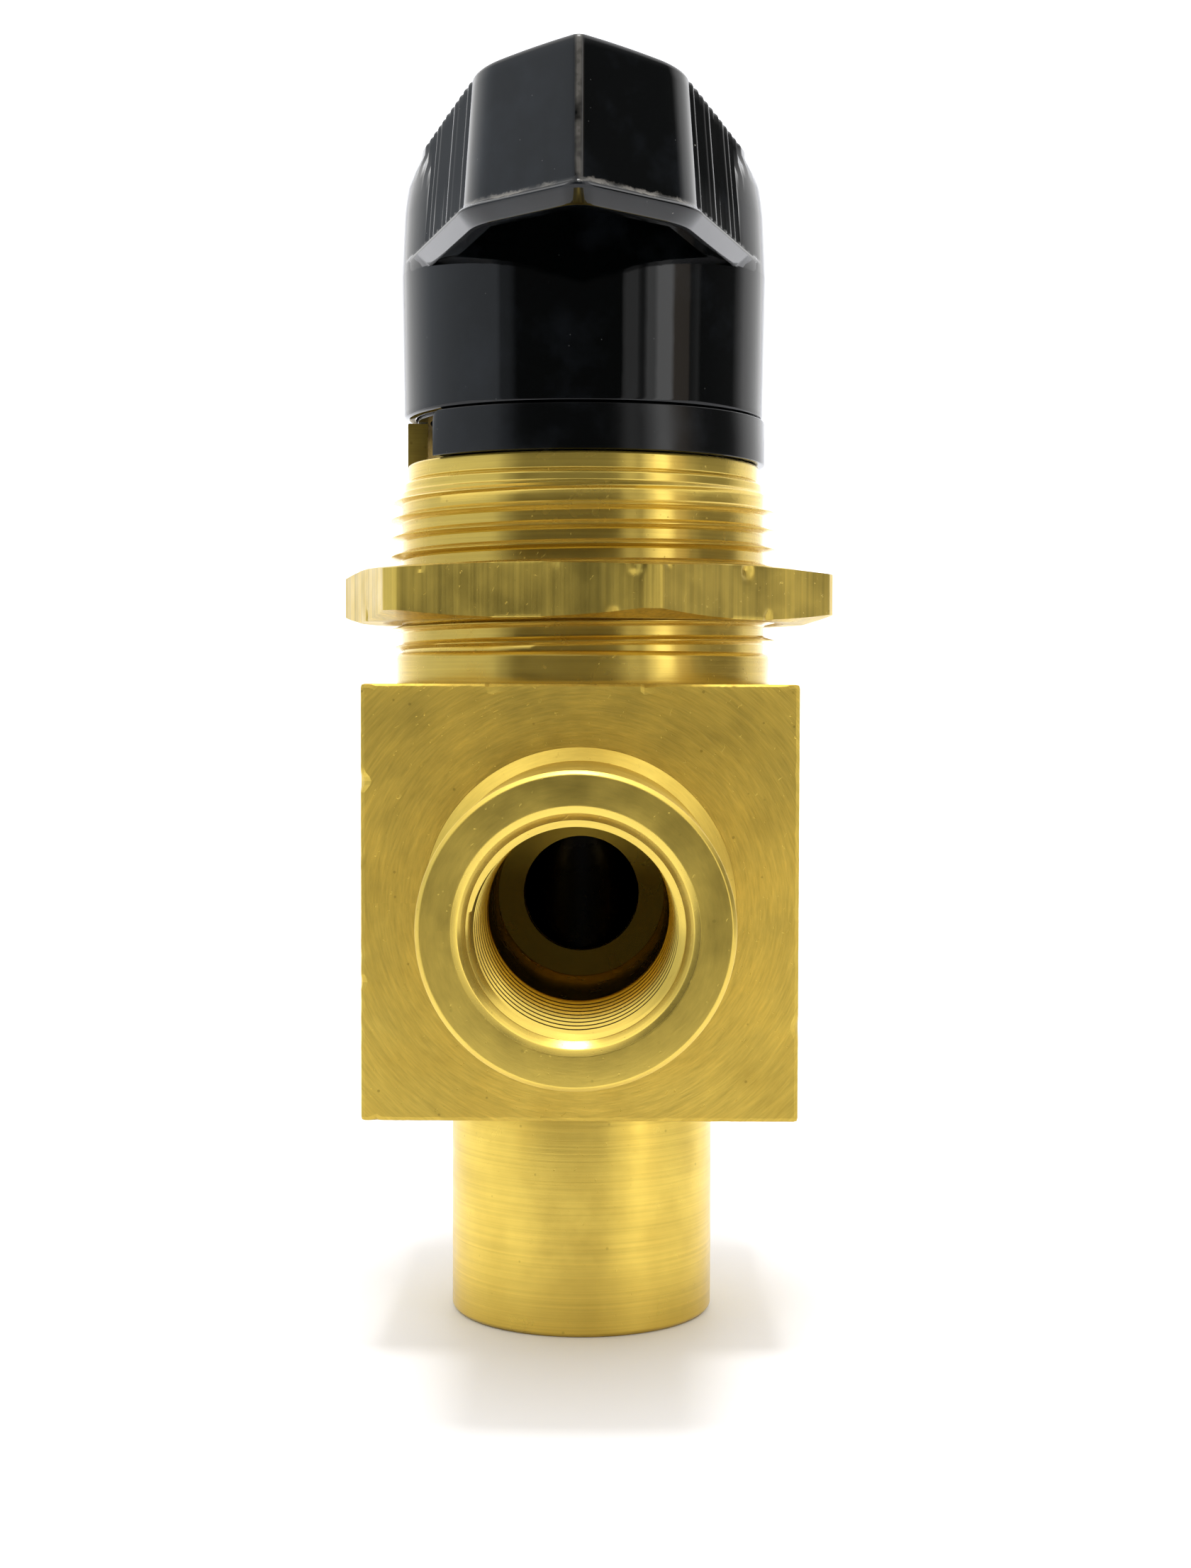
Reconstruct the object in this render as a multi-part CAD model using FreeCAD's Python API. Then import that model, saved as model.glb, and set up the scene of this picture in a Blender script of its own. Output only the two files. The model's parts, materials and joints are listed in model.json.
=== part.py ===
import FreeCAD, Part
import math
import os

# Air pressure regulator: a square brass body on a round bottom cap, a threaded bonnet with a panel nut,
# and a black T-handle on top. Millimetres. +Z is up along the adjusting axis, the inlet port faces -Y.
# The origin is the centre of the bottom cap's lower face.

# Body block and ports
block_side = 31.75
block_base_z = 17.5
block_top_z = block_base_z + block_side
block_edge_chamfer = 0.3
port_z = block_base_z + block_side / 2
port_tip_y = 35.15
boss_radius = 10.35
boss_root_radius = 11.35
boss_root_length = 1.4
boss_taper = 0.05
boss_edge_chamfer = 0.25
mouth_radius = 8.05
mouth_step_radius = 7.35
port_thread_radius = 6.86
mouth_chamfer_depth = 0.75
port_thread_end_y = 21.2
port_bore_radius = 6.33
inlet_bore_end_y = 7.1
outlet_bore_end_y = 8.3
inlet_passage_radius = 4.36
outlet_passage_radius = 1.9
outlet_passage_y = 10.2

# Chambers inside the block, all on the main axis
cap_bore_radius = 9.05
cap_bore_top_z = 22.5
inlet_chamber_radius = 6.4
cartridge_land_z = 38.6
cartridge_land_radius = 6.9
outlet_chamber_z = 41.6
outlet_chamber_radius = 12.2
bonnet_bore_z = 43.8
bonnet_bore_radius = 13.3
neck_register_radius = 14.72
neck_register_depth = 0.35

# Bottom cap
cap_radius = 10.25
cap_spigot_radius = 9.0
cap_edge_chamfer = 0.35
cap_key_flats = 8.0
cap_key_depth = 2.8
cap_guide_z = 4.3
cap_pocket_z = 8.0
cap_pocket_radius = 3.6
guide_clearance = 0.05

# Valve
cartridge_radius = 5.3
cartridge_flange_radius = 6.85
cartridge_top_z = 41.3
cartridge_bore_radius = 3.9
seat_z = 37.0
seat_hole_radius = 1.9
window_low_z = 26.0
window_high_z = 31.0
window_width = 4.0
poppet_radius = 3.8
poppet_base_z = 28.0
poppet_top_z = 36.2
poppet_seal_radius = 3.0
guide_pin_radius = 2.0
guide_pin_base_z = 5.4
stem_radius = 1.0
stem_base_z = 34.0
valve_spring_radius = 2.85
valve_spring_wire = 0.6
valve_spring_turns = 11

# Bonnet
bonnet_spigot_radius = 13.25
bonnet_spigot_z = 43.9
bonnet_bore = 11.1
neck_radius = 14.66
neck_top_z = 51.55
thread_lead_in = 0.3
panel_thread_radius = 15.08
panel_thread_top_z = 64.0
relief_radius = 14.05
relief_top_z = 64.9
collar_radius = 13.75
collar_top_z = 66.25
bonnet_ceiling_z = 62.6
spindle_hole_radius = 4.6
key_slot_base_z = 50.5
key_slot_radius = 11.8
key_slot_width = 3.2
stop_wall_inner_radius = 12.2
stop_wall_top_z = 69.55
stop_wall_start = 120.0
stop_wall_end = 186.0

# Panel nut
nut_flats = 34.93
nut_corner_radius = 20.0
nut_base_z = 54.0
nut_height = 4.0
nut_bore_radius = 15.14
nut_turn = -15.0
nut_base_chamfer = 0.6
nut_top_chamfer = 0.25
nut_chamfer_radius = 17.55
nut_bore_chamfer = 0.6

# Piston, range spring and button
piston_radius = 11.05
piston_base_z = 44.2
piston_top_z = 48.2
piston_pilot_radius = 6.0
piston_pilot_top_z = 49.4
relief_seat_radius = 2.6
relief_seat_thickness = 1.0
relief_vent_radius = 0.8
button_hub_radius = 6.2
button_hub_base_z = 51.9
button_flange_radius = 10.7
button_flange_base_z = 55.2
button_flange_top_z = 57.4
button_bore_radius = 4.08
button_key_radius = 11.6
button_key_width = 2.8
range_spring_radius = 8.4
range_spring_wire = 1.8
range_spring_turns = 2.5

# Adjusting spindle
spindle_screw_radius = 4.0
spindle_screw_base_z = 51.5
spindle_flange_radius = 7.5
spindle_flange_z = 60.95
spindle_flange_height = 1.0
spindle_shaft_radius = 4.5
spindle_shaft_top_z = 67.2
spindle_drive_radius = 4.0
spindle_drive_flat = 3.2
spindle_top_z = 78.0
spindle_tap_radius = 1.6
spindle_tap_depth = 9.5
washer_base_z = 61.97
washer_thickness = 0.6
ring_base_z = 66.35
ring_thickness = 0.6
ring_radius = 6.5
ring_groove_radius = 3.9
ring_gap_angle = 70.0

# Knob
skirt_base_z = 69.75
skirt_bottom_radius = 14.07
skirt_top_radius = 14.24
skirt_bore_radius = 13.05
skirt_bore_top_z = 78.6
skirt_edge_round = 0.5
handle_base_z = 80.72
handle_top_z = 91.6
handle_crown_radius = 55.0
drum_shoulder_z = 85.2
drum_shoulder_radius = 14.05
drum_crown_z = 87.6
drum_crown_radius = 13.75
drum_top_radius = 12.3
wing_root = (13.1, 4.2)
wing_corner = (7.55, 24.0)
wing_nose_y = 31.6
wing_top_inset = 0.8
wing_corner_round = 7.0
wing_nose_round = 0.6
flare_width = 0.6
flare_height = 1.3
flare_bite = 0.08
groove_count = 11
groove_radius = 0.42
groove_first_y = 6.2
groove_last_y = 21.2
groove_base_z = 82.3
pocket_root = (9.1, 12.5)
pocket_corner = (6.1, 23.2)
pocket_tip = (0.5, 28.9)
pocket_depth = 7.5
hub_radius = 7.0
hub_base_z = 67.6
hub_bore_radius = 4.05
hub_bore_flat = 3.25
hub_bore_top_z = 78.1
knob_screw_hole_radius = 1.8
cap_recess_radius = 5.5
cap_recess_floor_z = 82.0

# Stop ring pressed into the skirt
stop_ring_inner_radius = 12.0
stop_ring_outer_radius = 13.0
stop_ring_top_z = 72.0
stop_tab_base_z = 66.45
stop_tab_top_z = 69.7
stop_tab_radius = 14.2
stop_tab_start = -142.0
stop_tab_end = 10.0

# O-ring seals as mean radius, section radius and height, each in a groove with a little room
cap_seal = (8.3, 0.7, 21.0)
stem_seal = (2.62, 0.55, 6.5)
cartridge_seal = (6.2, 0.62, 40.0)
bonnet_seal = (12.6, 0.62, 48.0)
piston_seal = (10.22, 0.8, 46.15)
seal_room = 0.08

# Knob screw and cover plug
screw_head_radius = 2.9
screw_head_height = 2.6
screw_shank_radius = 1.55
screw_base_z = 70.0
screw_slot_width = 0.9
screw_slot_depth = 1.1
plug_radius = 5.45
plug_base_z = 89.3
plug_top_z = 91.0

UP = FreeCAD.Vector(0, 0, 1)
ORIGIN = FreeCAD.Vector(0, 0, 0)


def vec(x, y, z):
    return FreeCAD.Vector(x, y, z)


def disc(radius, low_z, high_z):
    return Part.makeCylinder(radius, high_z - low_z, vec(0, 0, low_z))


def ring(outer, inner, low_z, high_z):
    return disc(outer, low_z, high_z).cut(disc(inner, low_z - 1, high_z + 1))


def box(x_half, y_low, y_high, low_z, high_z):
    return Part.makeBox(2 * x_half, y_high - y_low, high_z - low_z, vec(-x_half, y_low, low_z))


def turned(profile, pos=ORIGIN, axis=UP):
    """A solid turned about the Z axis from (radius, height) points, then laid along another axis."""
    points = [vec(r, 0, z) for r, z in profile]
    face = Part.Face(Part.makePolygon(points + points[:1]))
    solid = face.revolve(ORIGIN, UP, 360)
    solid.Placement = FreeCAD.Placement(pos, FreeCAD.Rotation(UP, axis))
    return solid


def sector(outer, inner, low_z, high_z, start, end):
    """Part of a ring, from one angle to another in degrees."""
    face = Part.Face(Part.makePolygon([
        vec(inner, 0, low_z), vec(outer, 0, low_z), vec(outer, 0, high_z), vec(inner, 0, high_z),
        vec(inner, 0, low_z),
    ]))
    face.rotate(ORIGIN, UP, start)
    return face.revolve(ORIGIN, UP, end - start)


def o_ring(seal):
    mean_radius, section_radius, z = seal
    return Part.makeTorus(mean_radius, section_radius, vec(0, 0, z), UP)


def outer_groove(seal):
    """The groove round a plug for an O-ring, open outwards."""
    mean_radius, section_radius, z = seal
    half_height = section_radius + seal_room
    return ring(mean_radius + 2 * section_radius, mean_radius - half_height, z - half_height, z + half_height)


def inner_groove(seal):
    """The groove round a bore for an O-ring, open inwards."""
    mean_radius, section_radius, z = seal
    half_height = section_radius + seal_room
    return disc(mean_radius + half_height, z - half_height, z + half_height)


def coil(mean_radius, wire, low_z, high_z, turns):
    """An open compression spring whose wire just reaches both seats."""
    rise = high_z - low_z - wire
    path = Part.makeHelix(rise / turns, rise, mean_radius)
    path.translate(vec(0, 0, low_z + wire / 2))
    slope = vec(0, 2 * math.pi * mean_radius, rise / turns)
    section = Part.Wire([Part.makeCircle(wire / 2, vec(mean_radius, 0, low_z + wire / 2), slope)])
    return Part.Wire(path).makePipeShell([section], True, True)


def port_boss(direction):
    """One round port boss, from inside the block to its tip."""
    profile = [
        (0, 0), (boss_root_radius, 0), (boss_root_radius, block_side / 2),
        (boss_radius + boss_taper, block_side / 2 + boss_root_length),
        (boss_radius, block_side / 2 + 2 * boss_root_length),
        (boss_radius, port_tip_y - boss_edge_chamfer), (boss_radius - boss_edge_chamfer, port_tip_y),
        (0, port_tip_y),
    ]
    return turned(profile, vec(0, 0, port_z), vec(0, direction, 0))


def port_bore(direction, bore_end_y):
    """The bevelled mouth, the thread's bore and the drilled bore of one port."""
    profile = [
        (0, bore_end_y), (port_bore_radius, bore_end_y), (port_bore_radius, port_thread_end_y),
        (port_thread_radius, port_thread_end_y), (port_thread_radius, port_tip_y - 2 * mouth_chamfer_depth),
        (mouth_step_radius, port_tip_y - mouth_chamfer_depth), (mouth_radius, port_tip_y),
        (mouth_radius, port_tip_y + 1), (0, port_tip_y + 1),
    ]
    return turned(profile, vec(0, 0, port_z), vec(0, direction, 0))


def body_block():
    half = block_side / 2
    block = Part.makeBox(block_side, block_side, block_side, vec(-half, -half, block_base_z))
    block = block.makeChamfer(block_edge_chamfer, block.Edges)
    block = block.fuse([port_boss(-1), port_boss(1)])
    hollows = [
        port_bore(-1, inlet_bore_end_y),
        port_bore(1, outlet_bore_end_y),
        disc(cap_bore_radius, block_base_z - 1, cap_bore_top_z),
        disc(inlet_chamber_radius, block_base_z - 1, cartridge_land_z),
        disc(cartridge_land_radius, cartridge_land_z, outlet_chamber_z),
        disc(outlet_chamber_radius, outlet_chamber_z, block_top_z + 1),
        disc(bonnet_bore_radius, bonnet_bore_z, block_top_z + 1),
        disc(neck_register_radius, block_top_z - neck_register_depth, block_top_z + 1),
        Part.makeCylinder(inlet_passage_radius, inlet_bore_end_y, vec(0, -inlet_bore_end_y, port_z),
                          vec(0, 1, 0)),
        Part.makeCylinder(outlet_passage_radius, outlet_chamber_z - port_z, vec(0, outlet_passage_y, port_z)),
    ]
    return block.cut(hollows).removeSplitter()


def hexagon(flats, low_z, high_z, turn=0.0):
    corner = flats / math.sqrt(3)
    angles = [math.radians(turn + 60 * i) for i in range(7)]
    outline = Part.makePolygon([vec(corner * math.cos(a), corner * math.sin(a), low_z) for a in angles])
    return Part.Face(outline).extrude(vec(0, 0, high_z - low_z))


def bottom_cap():
    outside = turned([
        (0, 0), (cap_radius - cap_edge_chamfer, 0), (cap_radius, cap_edge_chamfer),
        (cap_radius, block_base_z), (cap_spigot_radius, block_base_z), (cap_spigot_radius, cap_bore_top_z),
        (0, cap_bore_top_z),
    ])
    hollows = [
        hexagon(cap_key_flats, -1, cap_key_depth),
        disc(guide_pin_radius + guide_clearance, cap_guide_z, cap_pocket_z + 1),
        disc(cap_pocket_radius, cap_pocket_z, cap_bore_top_z + 1),
        inner_groove(stem_seal),
        outer_groove(cap_seal),
    ]
    return outside.cut(hollows)


def valve_cartridge():
    outside = disc(cartridge_radius, cap_bore_top_z, cartridge_land_z)
    outside = outside.fuse(disc(cartridge_flange_radius, cartridge_land_z, cartridge_top_z))
    hollows = [
        disc(cartridge_bore_radius, cap_bore_top_z - 1, seat_z),
        disc(seat_hole_radius, seat_z - 1, cartridge_top_z + 1),
        box(cartridge_radius + 1, -window_width / 2, window_width / 2, window_low_z, window_high_z),
        outer_groove(cartridge_seal),
    ]
    return outside.cut(hollows)


def valve_poppet():
    poppet = disc(poppet_radius, poppet_base_z, poppet_top_z)
    poppet = poppet.fuse(disc(guide_pin_radius, guide_pin_base_z, poppet_base_z))
    return poppet.cut(disc(stem_radius, stem_base_z, poppet_top_z + 1))


def bonnet():
    neck_base_z = block_top_z - neck_register_depth
    outside = turned([
        (0, bonnet_spigot_z), (bonnet_spigot_radius, bonnet_spigot_z), (bonnet_spigot_radius, neck_base_z),
        (neck_radius, neck_base_z), (neck_radius, neck_top_z),
        (panel_thread_radius, neck_top_z + thread_lead_in), (panel_thread_radius, panel_thread_top_z),
        (relief_radius, panel_thread_top_z), (relief_radius, relief_top_z),
        (collar_radius, relief_top_z), (collar_radius, collar_top_z), (0, collar_top_z),
    ])
    wall = sector(collar_radius, stop_wall_inner_radius, collar_top_z - 0.5, stop_wall_top_z, stop_wall_start,
                  stop_wall_end)
    slots = box(key_slot_width / 2, -key_slot_radius, key_slot_radius, key_slot_base_z, bonnet_ceiling_z)
    hollows = [
        disc(bonnet_bore, bonnet_spigot_z - 1, bonnet_ceiling_z),
        disc(spindle_hole_radius, bonnet_ceiling_z - 1, collar_top_z + 1),
        slots.common(disc(key_slot_radius, key_slot_base_z, bonnet_ceiling_z)),
        outer_groove(bonnet_seal),
    ]
    return outside.fuse(wall).cut(hollows).removeSplitter()


def panel_nut():
    blank = hexagon(nut_flats, nut_base_z, nut_base_z + nut_height, nut_turn)
    top = nut_base_z + nut_height
    envelope = turned([
        (0, nut_base_z), (nut_chamfer_radius, nut_base_z), (nut_corner_radius, nut_base_z + nut_base_chamfer),
        (nut_corner_radius, top - nut_top_chamfer), (nut_chamfer_radius, top), (0, top),
    ])
    bore = turned([
        (0, nut_base_z), (nut_bore_radius + nut_bore_chamfer, nut_base_z),
        (nut_bore_radius, nut_base_z + nut_bore_chamfer),
        (nut_bore_radius, top - nut_bore_chamfer), (nut_bore_radius + nut_bore_chamfer, top), (0, top),
    ])
    return blank.common(envelope).cut(bore)


def piston():
    outside = disc(piston_radius, piston_base_z, piston_top_z)
    outside = outside.fuse(disc(piston_pilot_radius, piston_top_z, piston_pilot_top_z))
    hollows = [
        outer_groove(piston_seal),
        disc(relief_seat_radius, piston_base_z - 1, piston_base_z + relief_seat_thickness),
        disc(relief_vent_radius, piston_base_z, piston_pilot_top_z + 1),
    ]
    return outside.cut(hollows)


def spring_button():
    button = disc(button_flange_radius, button_flange_base_z, button_flange_top_z)
    button = button.fuse(disc(button_hub_radius, button_hub_base_z, button_flange_base_z))
    keys = box(button_key_width / 2, -button_key_radius, button_key_radius, button_flange_base_z,
               button_flange_top_z)
    keys = keys.common(disc(button_key_radius, button_flange_base_z, button_flange_top_z))
    return button.fuse(keys).cut(disc(button_bore_radius, button_hub_base_z - 1, button_flange_top_z + 1))


def flatted_bar(radius, flat, low_z, high_z):
    """A round bar with one flat that faces +X."""
    return disc(radius, low_z, high_z).common(
        Part.makeBox(radius + flat, 2 * radius, high_z - low_z, vec(-radius, -radius, low_z)))


def adjusting_spindle():
    spindle = disc(spindle_screw_radius, spindle_screw_base_z, spindle_flange_z)
    spindle = spindle.fuse([
        disc(spindle_flange_radius, spindle_flange_z, spindle_flange_z + spindle_flange_height),
        disc(spindle_shaft_radius, spindle_flange_z, spindle_shaft_top_z),
        flatted_bar(spindle_drive_radius, spindle_drive_flat, spindle_shaft_top_z, spindle_top_z),
    ])
    groove = ring(spindle_shaft_radius + 1, ring_groove_radius, ring_base_z, ring_base_z + ring_thickness)
    tapped_hole = disc(spindle_tap_radius, spindle_top_z - spindle_tap_depth, spindle_top_z + 1)
    return spindle.cut([groove, tapped_hole])


def retaining_ring():
    gap = ring_gap_angle / 2
    ring_top_z = ring_base_z + ring_thickness
    return sector(ring_radius, ring_groove_radius, ring_base_z, ring_top_z, gap - 90, 270 - gap)


def wing_outline(grow, z):
    """The rounded outline of both wings, moved outwards by grow, as one closed wire."""
    quarter = [wing_root, wing_corner]
    length = math.hypot(wing_corner[0] - wing_root[0], wing_corner[1] - wing_root[1])
    side = ((wing_corner[1] - wing_root[1]) / length, (wing_root[0] - wing_corner[0]) / length)
    nose_length = math.hypot(wing_corner[0], wing_nose_y - wing_corner[1])
    front = ((wing_nose_y - wing_corner[1]) / nose_length, wing_corner[0] / nose_length)
    root = (quarter[0][0] + grow / side[0], quarter[0][1])
    turn = side[0] * front[1] - side[1] * front[0]
    side_reach = side[0] * wing_corner[0] + side[1] * wing_corner[1] + grow
    front_reach = front[0] * wing_corner[0] + front[1] * wing_corner[1] + grow
    corner = ((side_reach * front[1] - front_reach * side[1]) / turn,
              (front_reach * side[0] - side_reach * front[0]) / turn)
    nose = (0.0, front_reach / front[1])
    right = [(root[0], -root[1]), root, corner, nose]
    left = [(-root[0], root[1]), (-root[0], -root[1]), (-corner[0], -corner[1]), (0.0, -nose[1])]
    points = right + [(-corner[0], corner[1])] + left + [(corner[0], -corner[1])]
    rounds = {2: wing_corner_round, 3: wing_nose_round, 4: wing_corner_round,
              7: wing_corner_round, 8: wing_nose_round, 9: wing_corner_round}
    return rounded_wire(points, rounds, z)


def rounded_wire(points, rounds, z):
    """A closed wire through the points, with an arc at each corner that has a radius."""
    count = len(points)
    starts, ends, middles = [], [], []
    for i, (x, y) in enumerate(points):
        here = vec(x, y, z)
        before = vec(*points[i - 1], z) - here
        after = vec(*points[(i + 1) % count], z) - here
        radius = rounds.get(i)
        before.normalize()
        after.normalize()
        if radius is None:
            starts.append(here)
            ends.append(here)
            middles.append(None)
            continue
        half = before.getAngle(after) / 2
        bisector = (before + after).normalize()
        starts.append(here + before * (radius / math.tan(half)))
        ends.append(here + after * (radius / math.tan(half)))
        middles.append(here + bisector * (radius / math.sin(half) - radius))
    edges = []
    for i in range(count):
        if middles[i] is not None:
            edges.append(Part.Arc(starts[i], middles[i], ends[i]).toShape())
        edges.append(Part.makeLine(ends[i], starts[(i + 1) % count]))
    return Part.Wire(edges)


def wing_grooves():
    """The upright finger grooves on the four long faces of the wings."""
    run = wing_corner[1] - wing_root[1]
    slope = (wing_corner[0] - wing_root[0]) / run
    spacing = (groove_last_y - groove_first_y) / (groove_count - 1)
    face_angle = math.atan2(-(wing_corner[0] - wing_root[0]), run)
    height = handle_top_z - groove_base_z + 1
    lean = wing_top_inset / (handle_top_z - handle_base_z)
    grooves = []
    for i in range(groove_count):
        y = groove_first_y + i * spacing
        x = wing_root[0] + (y - wing_root[1]) * slope - lean * (groove_base_z - handle_base_z)
        for side_x in (1, -1):
            for side_y in (1, -1):
                inward = vec(-side_x * math.cos(face_angle), -side_y * math.sin(face_angle), 0)
                axis = UP + inward * lean
                foot = vec(side_x * x, side_y * y, groove_base_z)
                grooves.append(Part.makeCylinder(groove_radius, height, foot, axis))
    return grooves


def wing_pockets():
    """The hollow under each wing, from the round middle out to the nose."""
    pockets = []
    right = [pocket_root, pocket_corner, pocket_tip]
    loop = right + [(-x, y) for x, y in reversed(right)] + [pocket_root]
    for side in (1, -1):
        outline = Part.makePolygon([vec(x, side * y, handle_base_z - 1) for x, y in loop])
        pockets.append(Part.Face(outline).extrude(vec(0, 0, pocket_depth + 1)))
    return pockets


def knob_drum():
    """The skirt and the round middle of the handle, with a rounded crown."""
    crown = Part.Arc(vec(drum_shoulder_radius, 0, drum_shoulder_z), vec(drum_crown_radius, 0, drum_crown_z),
                     vec(drum_top_radius, 0, handle_top_z)).toShape()
    corners = [
        vec(drum_top_radius, 0, handle_top_z), vec(0, 0, handle_top_z), vec(0, 0, skirt_base_z),
        vec(skirt_bottom_radius - skirt_edge_round, 0, skirt_base_z),
        vec(skirt_bottom_radius, 0, skirt_base_z + skirt_edge_round), vec(skirt_top_radius, 0, handle_base_z),
        vec(drum_shoulder_radius, 0, drum_shoulder_z),
    ]
    edges = [crown] + [Part.makeLine(a, b) for a, b in zip(corners, corners[1:])]
    return Part.Face(Part.Wire(edges)).revolve(ORIGIN, UP, 360)


def knob_wings():
    top = wing_outline(-wing_top_inset, handle_top_z)
    wings = Part.makeLoft([wing_outline(0, handle_base_z), top], True, True)
    flare = Part.makeLoft([wing_outline(flare_width, handle_base_z),
                           wing_outline(-flare_bite, handle_base_z + flare_height)], True, True)
    return wings.fuse(flare)


def handle_crown():
    """The round bar, lying along Y, whose upper side is the handle's crowned top."""
    reach = wing_nose_y + 2
    return Part.makeCylinder(handle_crown_radius, 2 * reach, vec(0, -reach, handle_top_z - handle_crown_radius),
                             vec(0, 1, 0))


def knob_handle():
    knob = knob_wings().cut(wing_grooves())
    knob = knob.cut(wing_pockets()).fuse(knob_drum()).common(handle_crown())
    skirt_hollow = ring(skirt_bore_radius, hub_radius, skirt_base_z - 1, skirt_bore_top_z)
    knob = knob.cut(skirt_hollow)
    hub = disc(hub_radius, hub_base_z, skirt_bore_top_z)
    hollows = [
        flatted_bar(hub_bore_radius, hub_bore_flat, hub_base_z - 1, hub_bore_top_z),
        disc(knob_screw_hole_radius, hub_bore_top_z - 1, cap_recess_floor_z + 1),
        disc(cap_recess_radius, cap_recess_floor_z, handle_top_z + 1),
    ]
    return knob.fuse(hub).cut(hollows).removeSplitter()


def knob_stop_ring():
    band = ring(stop_ring_outer_radius, stop_ring_inner_radius, stop_tab_top_z, stop_ring_top_z)
    tab = sector(stop_tab_radius, stop_ring_inner_radius, stop_tab_base_z, stop_tab_top_z, stop_tab_start,
                 stop_tab_end)
    return band.fuse(tab)


def knob_screw():
    head_top = cap_recess_floor_z + screw_head_height
    screw = disc(screw_head_radius, cap_recess_floor_z, head_top)
    screw = screw.fuse(disc(screw_shank_radius, screw_base_z, cap_recess_floor_z))
    slot_reach = screw_head_radius + 1
    slot_base = head_top - screw_slot_depth
    return screw.cut(box(screw_slot_width / 2, -slot_reach, slot_reach, slot_base, head_top + 1))


parts = {
    "body_block": body_block(),
    "bottom_cap": bottom_cap(),
    "bottom_cap_seal": o_ring(cap_seal),
    "bonnet": bonnet(),
    "bonnet_seal": o_ring(bonnet_seal),
    "panel_nut": panel_nut(),
    "valve_cartridge": valve_cartridge(),
    "cartridge_seal": o_ring(cartridge_seal),
    "valve_poppet": valve_poppet(),
    "poppet_seal": ring(poppet_seal_radius, stem_radius, poppet_top_z, seat_z),
    "valve_stem": disc(stem_radius, stem_base_z, piston_base_z),
    "stem_seal": o_ring(stem_seal),
    "valve_spring": coil(valve_spring_radius, valve_spring_wire, cap_pocket_z, poppet_base_z,
                         valve_spring_turns),
    "piston": piston(),
    "piston_seal": o_ring(piston_seal),
    "relief_seat": ring(relief_seat_radius, relief_vent_radius, piston_base_z,
                        piston_base_z + relief_seat_thickness),
    "range_spring": coil(range_spring_radius, range_spring_wire, piston_top_z, button_flange_base_z,
                         range_spring_turns),
    "spring_button": spring_button(),
    "adjusting_spindle": adjusting_spindle(),
    "thrust_washer": ring(spindle_flange_radius, spindle_hole_radius, washer_base_z,
                          washer_base_z + washer_thickness),
    "spindle_retaining_ring": retaining_ring(),
    "knob_handle": knob_handle(),
    "knob_stop_ring": knob_stop_ring(),
    "knob_screw": knob_screw(),
    "knob_plug": disc(plug_radius, plug_base_z, plug_top_z),
}

os.makedirs("parts", exist_ok=True)
for name, shape in parts.items():
    shape.exportStep(os.path.join("parts", name + ".step"))
    size = shape.BoundBox
    print(f"{name:24s} solids {len(shape.Solids)} valid {shape.isValid()} volume {shape.Volume:9.1f} "
          f"x {size.XMin:.2f}..{size.XMax:.2f} y {size.YMin:.2f}..{size.YMax:.2f} "
          f"z {size.ZMin:.2f}..{size.ZMax:.2f}")
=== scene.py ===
import json
import math

import bmesh
import bpy
from mathutils import Matrix, Vector, noise as value_noise


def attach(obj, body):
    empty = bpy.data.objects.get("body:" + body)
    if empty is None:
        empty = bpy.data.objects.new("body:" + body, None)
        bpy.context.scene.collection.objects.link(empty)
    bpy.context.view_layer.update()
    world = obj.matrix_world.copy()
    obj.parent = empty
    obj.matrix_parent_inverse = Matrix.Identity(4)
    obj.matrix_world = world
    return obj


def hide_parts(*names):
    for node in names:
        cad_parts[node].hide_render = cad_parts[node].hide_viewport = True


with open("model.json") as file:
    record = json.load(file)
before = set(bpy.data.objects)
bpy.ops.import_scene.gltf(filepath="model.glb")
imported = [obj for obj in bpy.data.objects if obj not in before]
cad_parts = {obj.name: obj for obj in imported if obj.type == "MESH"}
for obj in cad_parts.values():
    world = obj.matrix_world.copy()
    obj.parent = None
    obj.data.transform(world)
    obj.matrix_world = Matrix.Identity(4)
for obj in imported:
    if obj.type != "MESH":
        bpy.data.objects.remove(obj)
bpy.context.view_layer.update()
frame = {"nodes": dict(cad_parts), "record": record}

MM = 0.001
# Segments round a turned piece, where its call gives no other number
SEGMENTS = 192

# Sizes in millimetres, with the outer surfaces of the CAD part
PITCH = 25.4 / 18
THREAD_DEPTH = 0.87
THREAD_CREST = 15.08
PORT_THREAD_DEPTH = 0.45
PORT_Z = 33.375
BLOCK_HALF = 15.875
BLOCK_LOW, BLOCK_HIGH = 17.5, 49.25
SKIRT_LOW, SKIRT_HIGH = 69.75, 80.72
HANDLE_HIGH = 91.6
CROWN_START, CROWN_RADIUS = 85.2, 55.0


# ---- camera, floor and light

# The camera's lens and place in millimetres, and its three turns in degrees
CAMERA_LENS = 52.62
CAMERA_PLACE = (2.17, -181.1, 48.8)
CAMERA_TURNS = (90 - 2.34, -0.15, 0.37)


def new_object(name, data):
    thing = bpy.data.objects.new(name, data)
    bpy.context.scene.collection.objects.link(thing)
    return thing


def add_camera():
    data = bpy.data.cameras.new("photo_camera")
    data.sensor_width = 36.0
    data.lens = CAMERA_LENS
    data.clip_start = 0.005
    data.clip_end = 10
    camera = new_object("photo_camera", data)
    camera.location = Vector(CAMERA_PLACE) * MM
    camera.rotation_euler = [math.radians(angle) for angle in CAMERA_TURNS]
    bpy.context.scene.camera = camera


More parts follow.
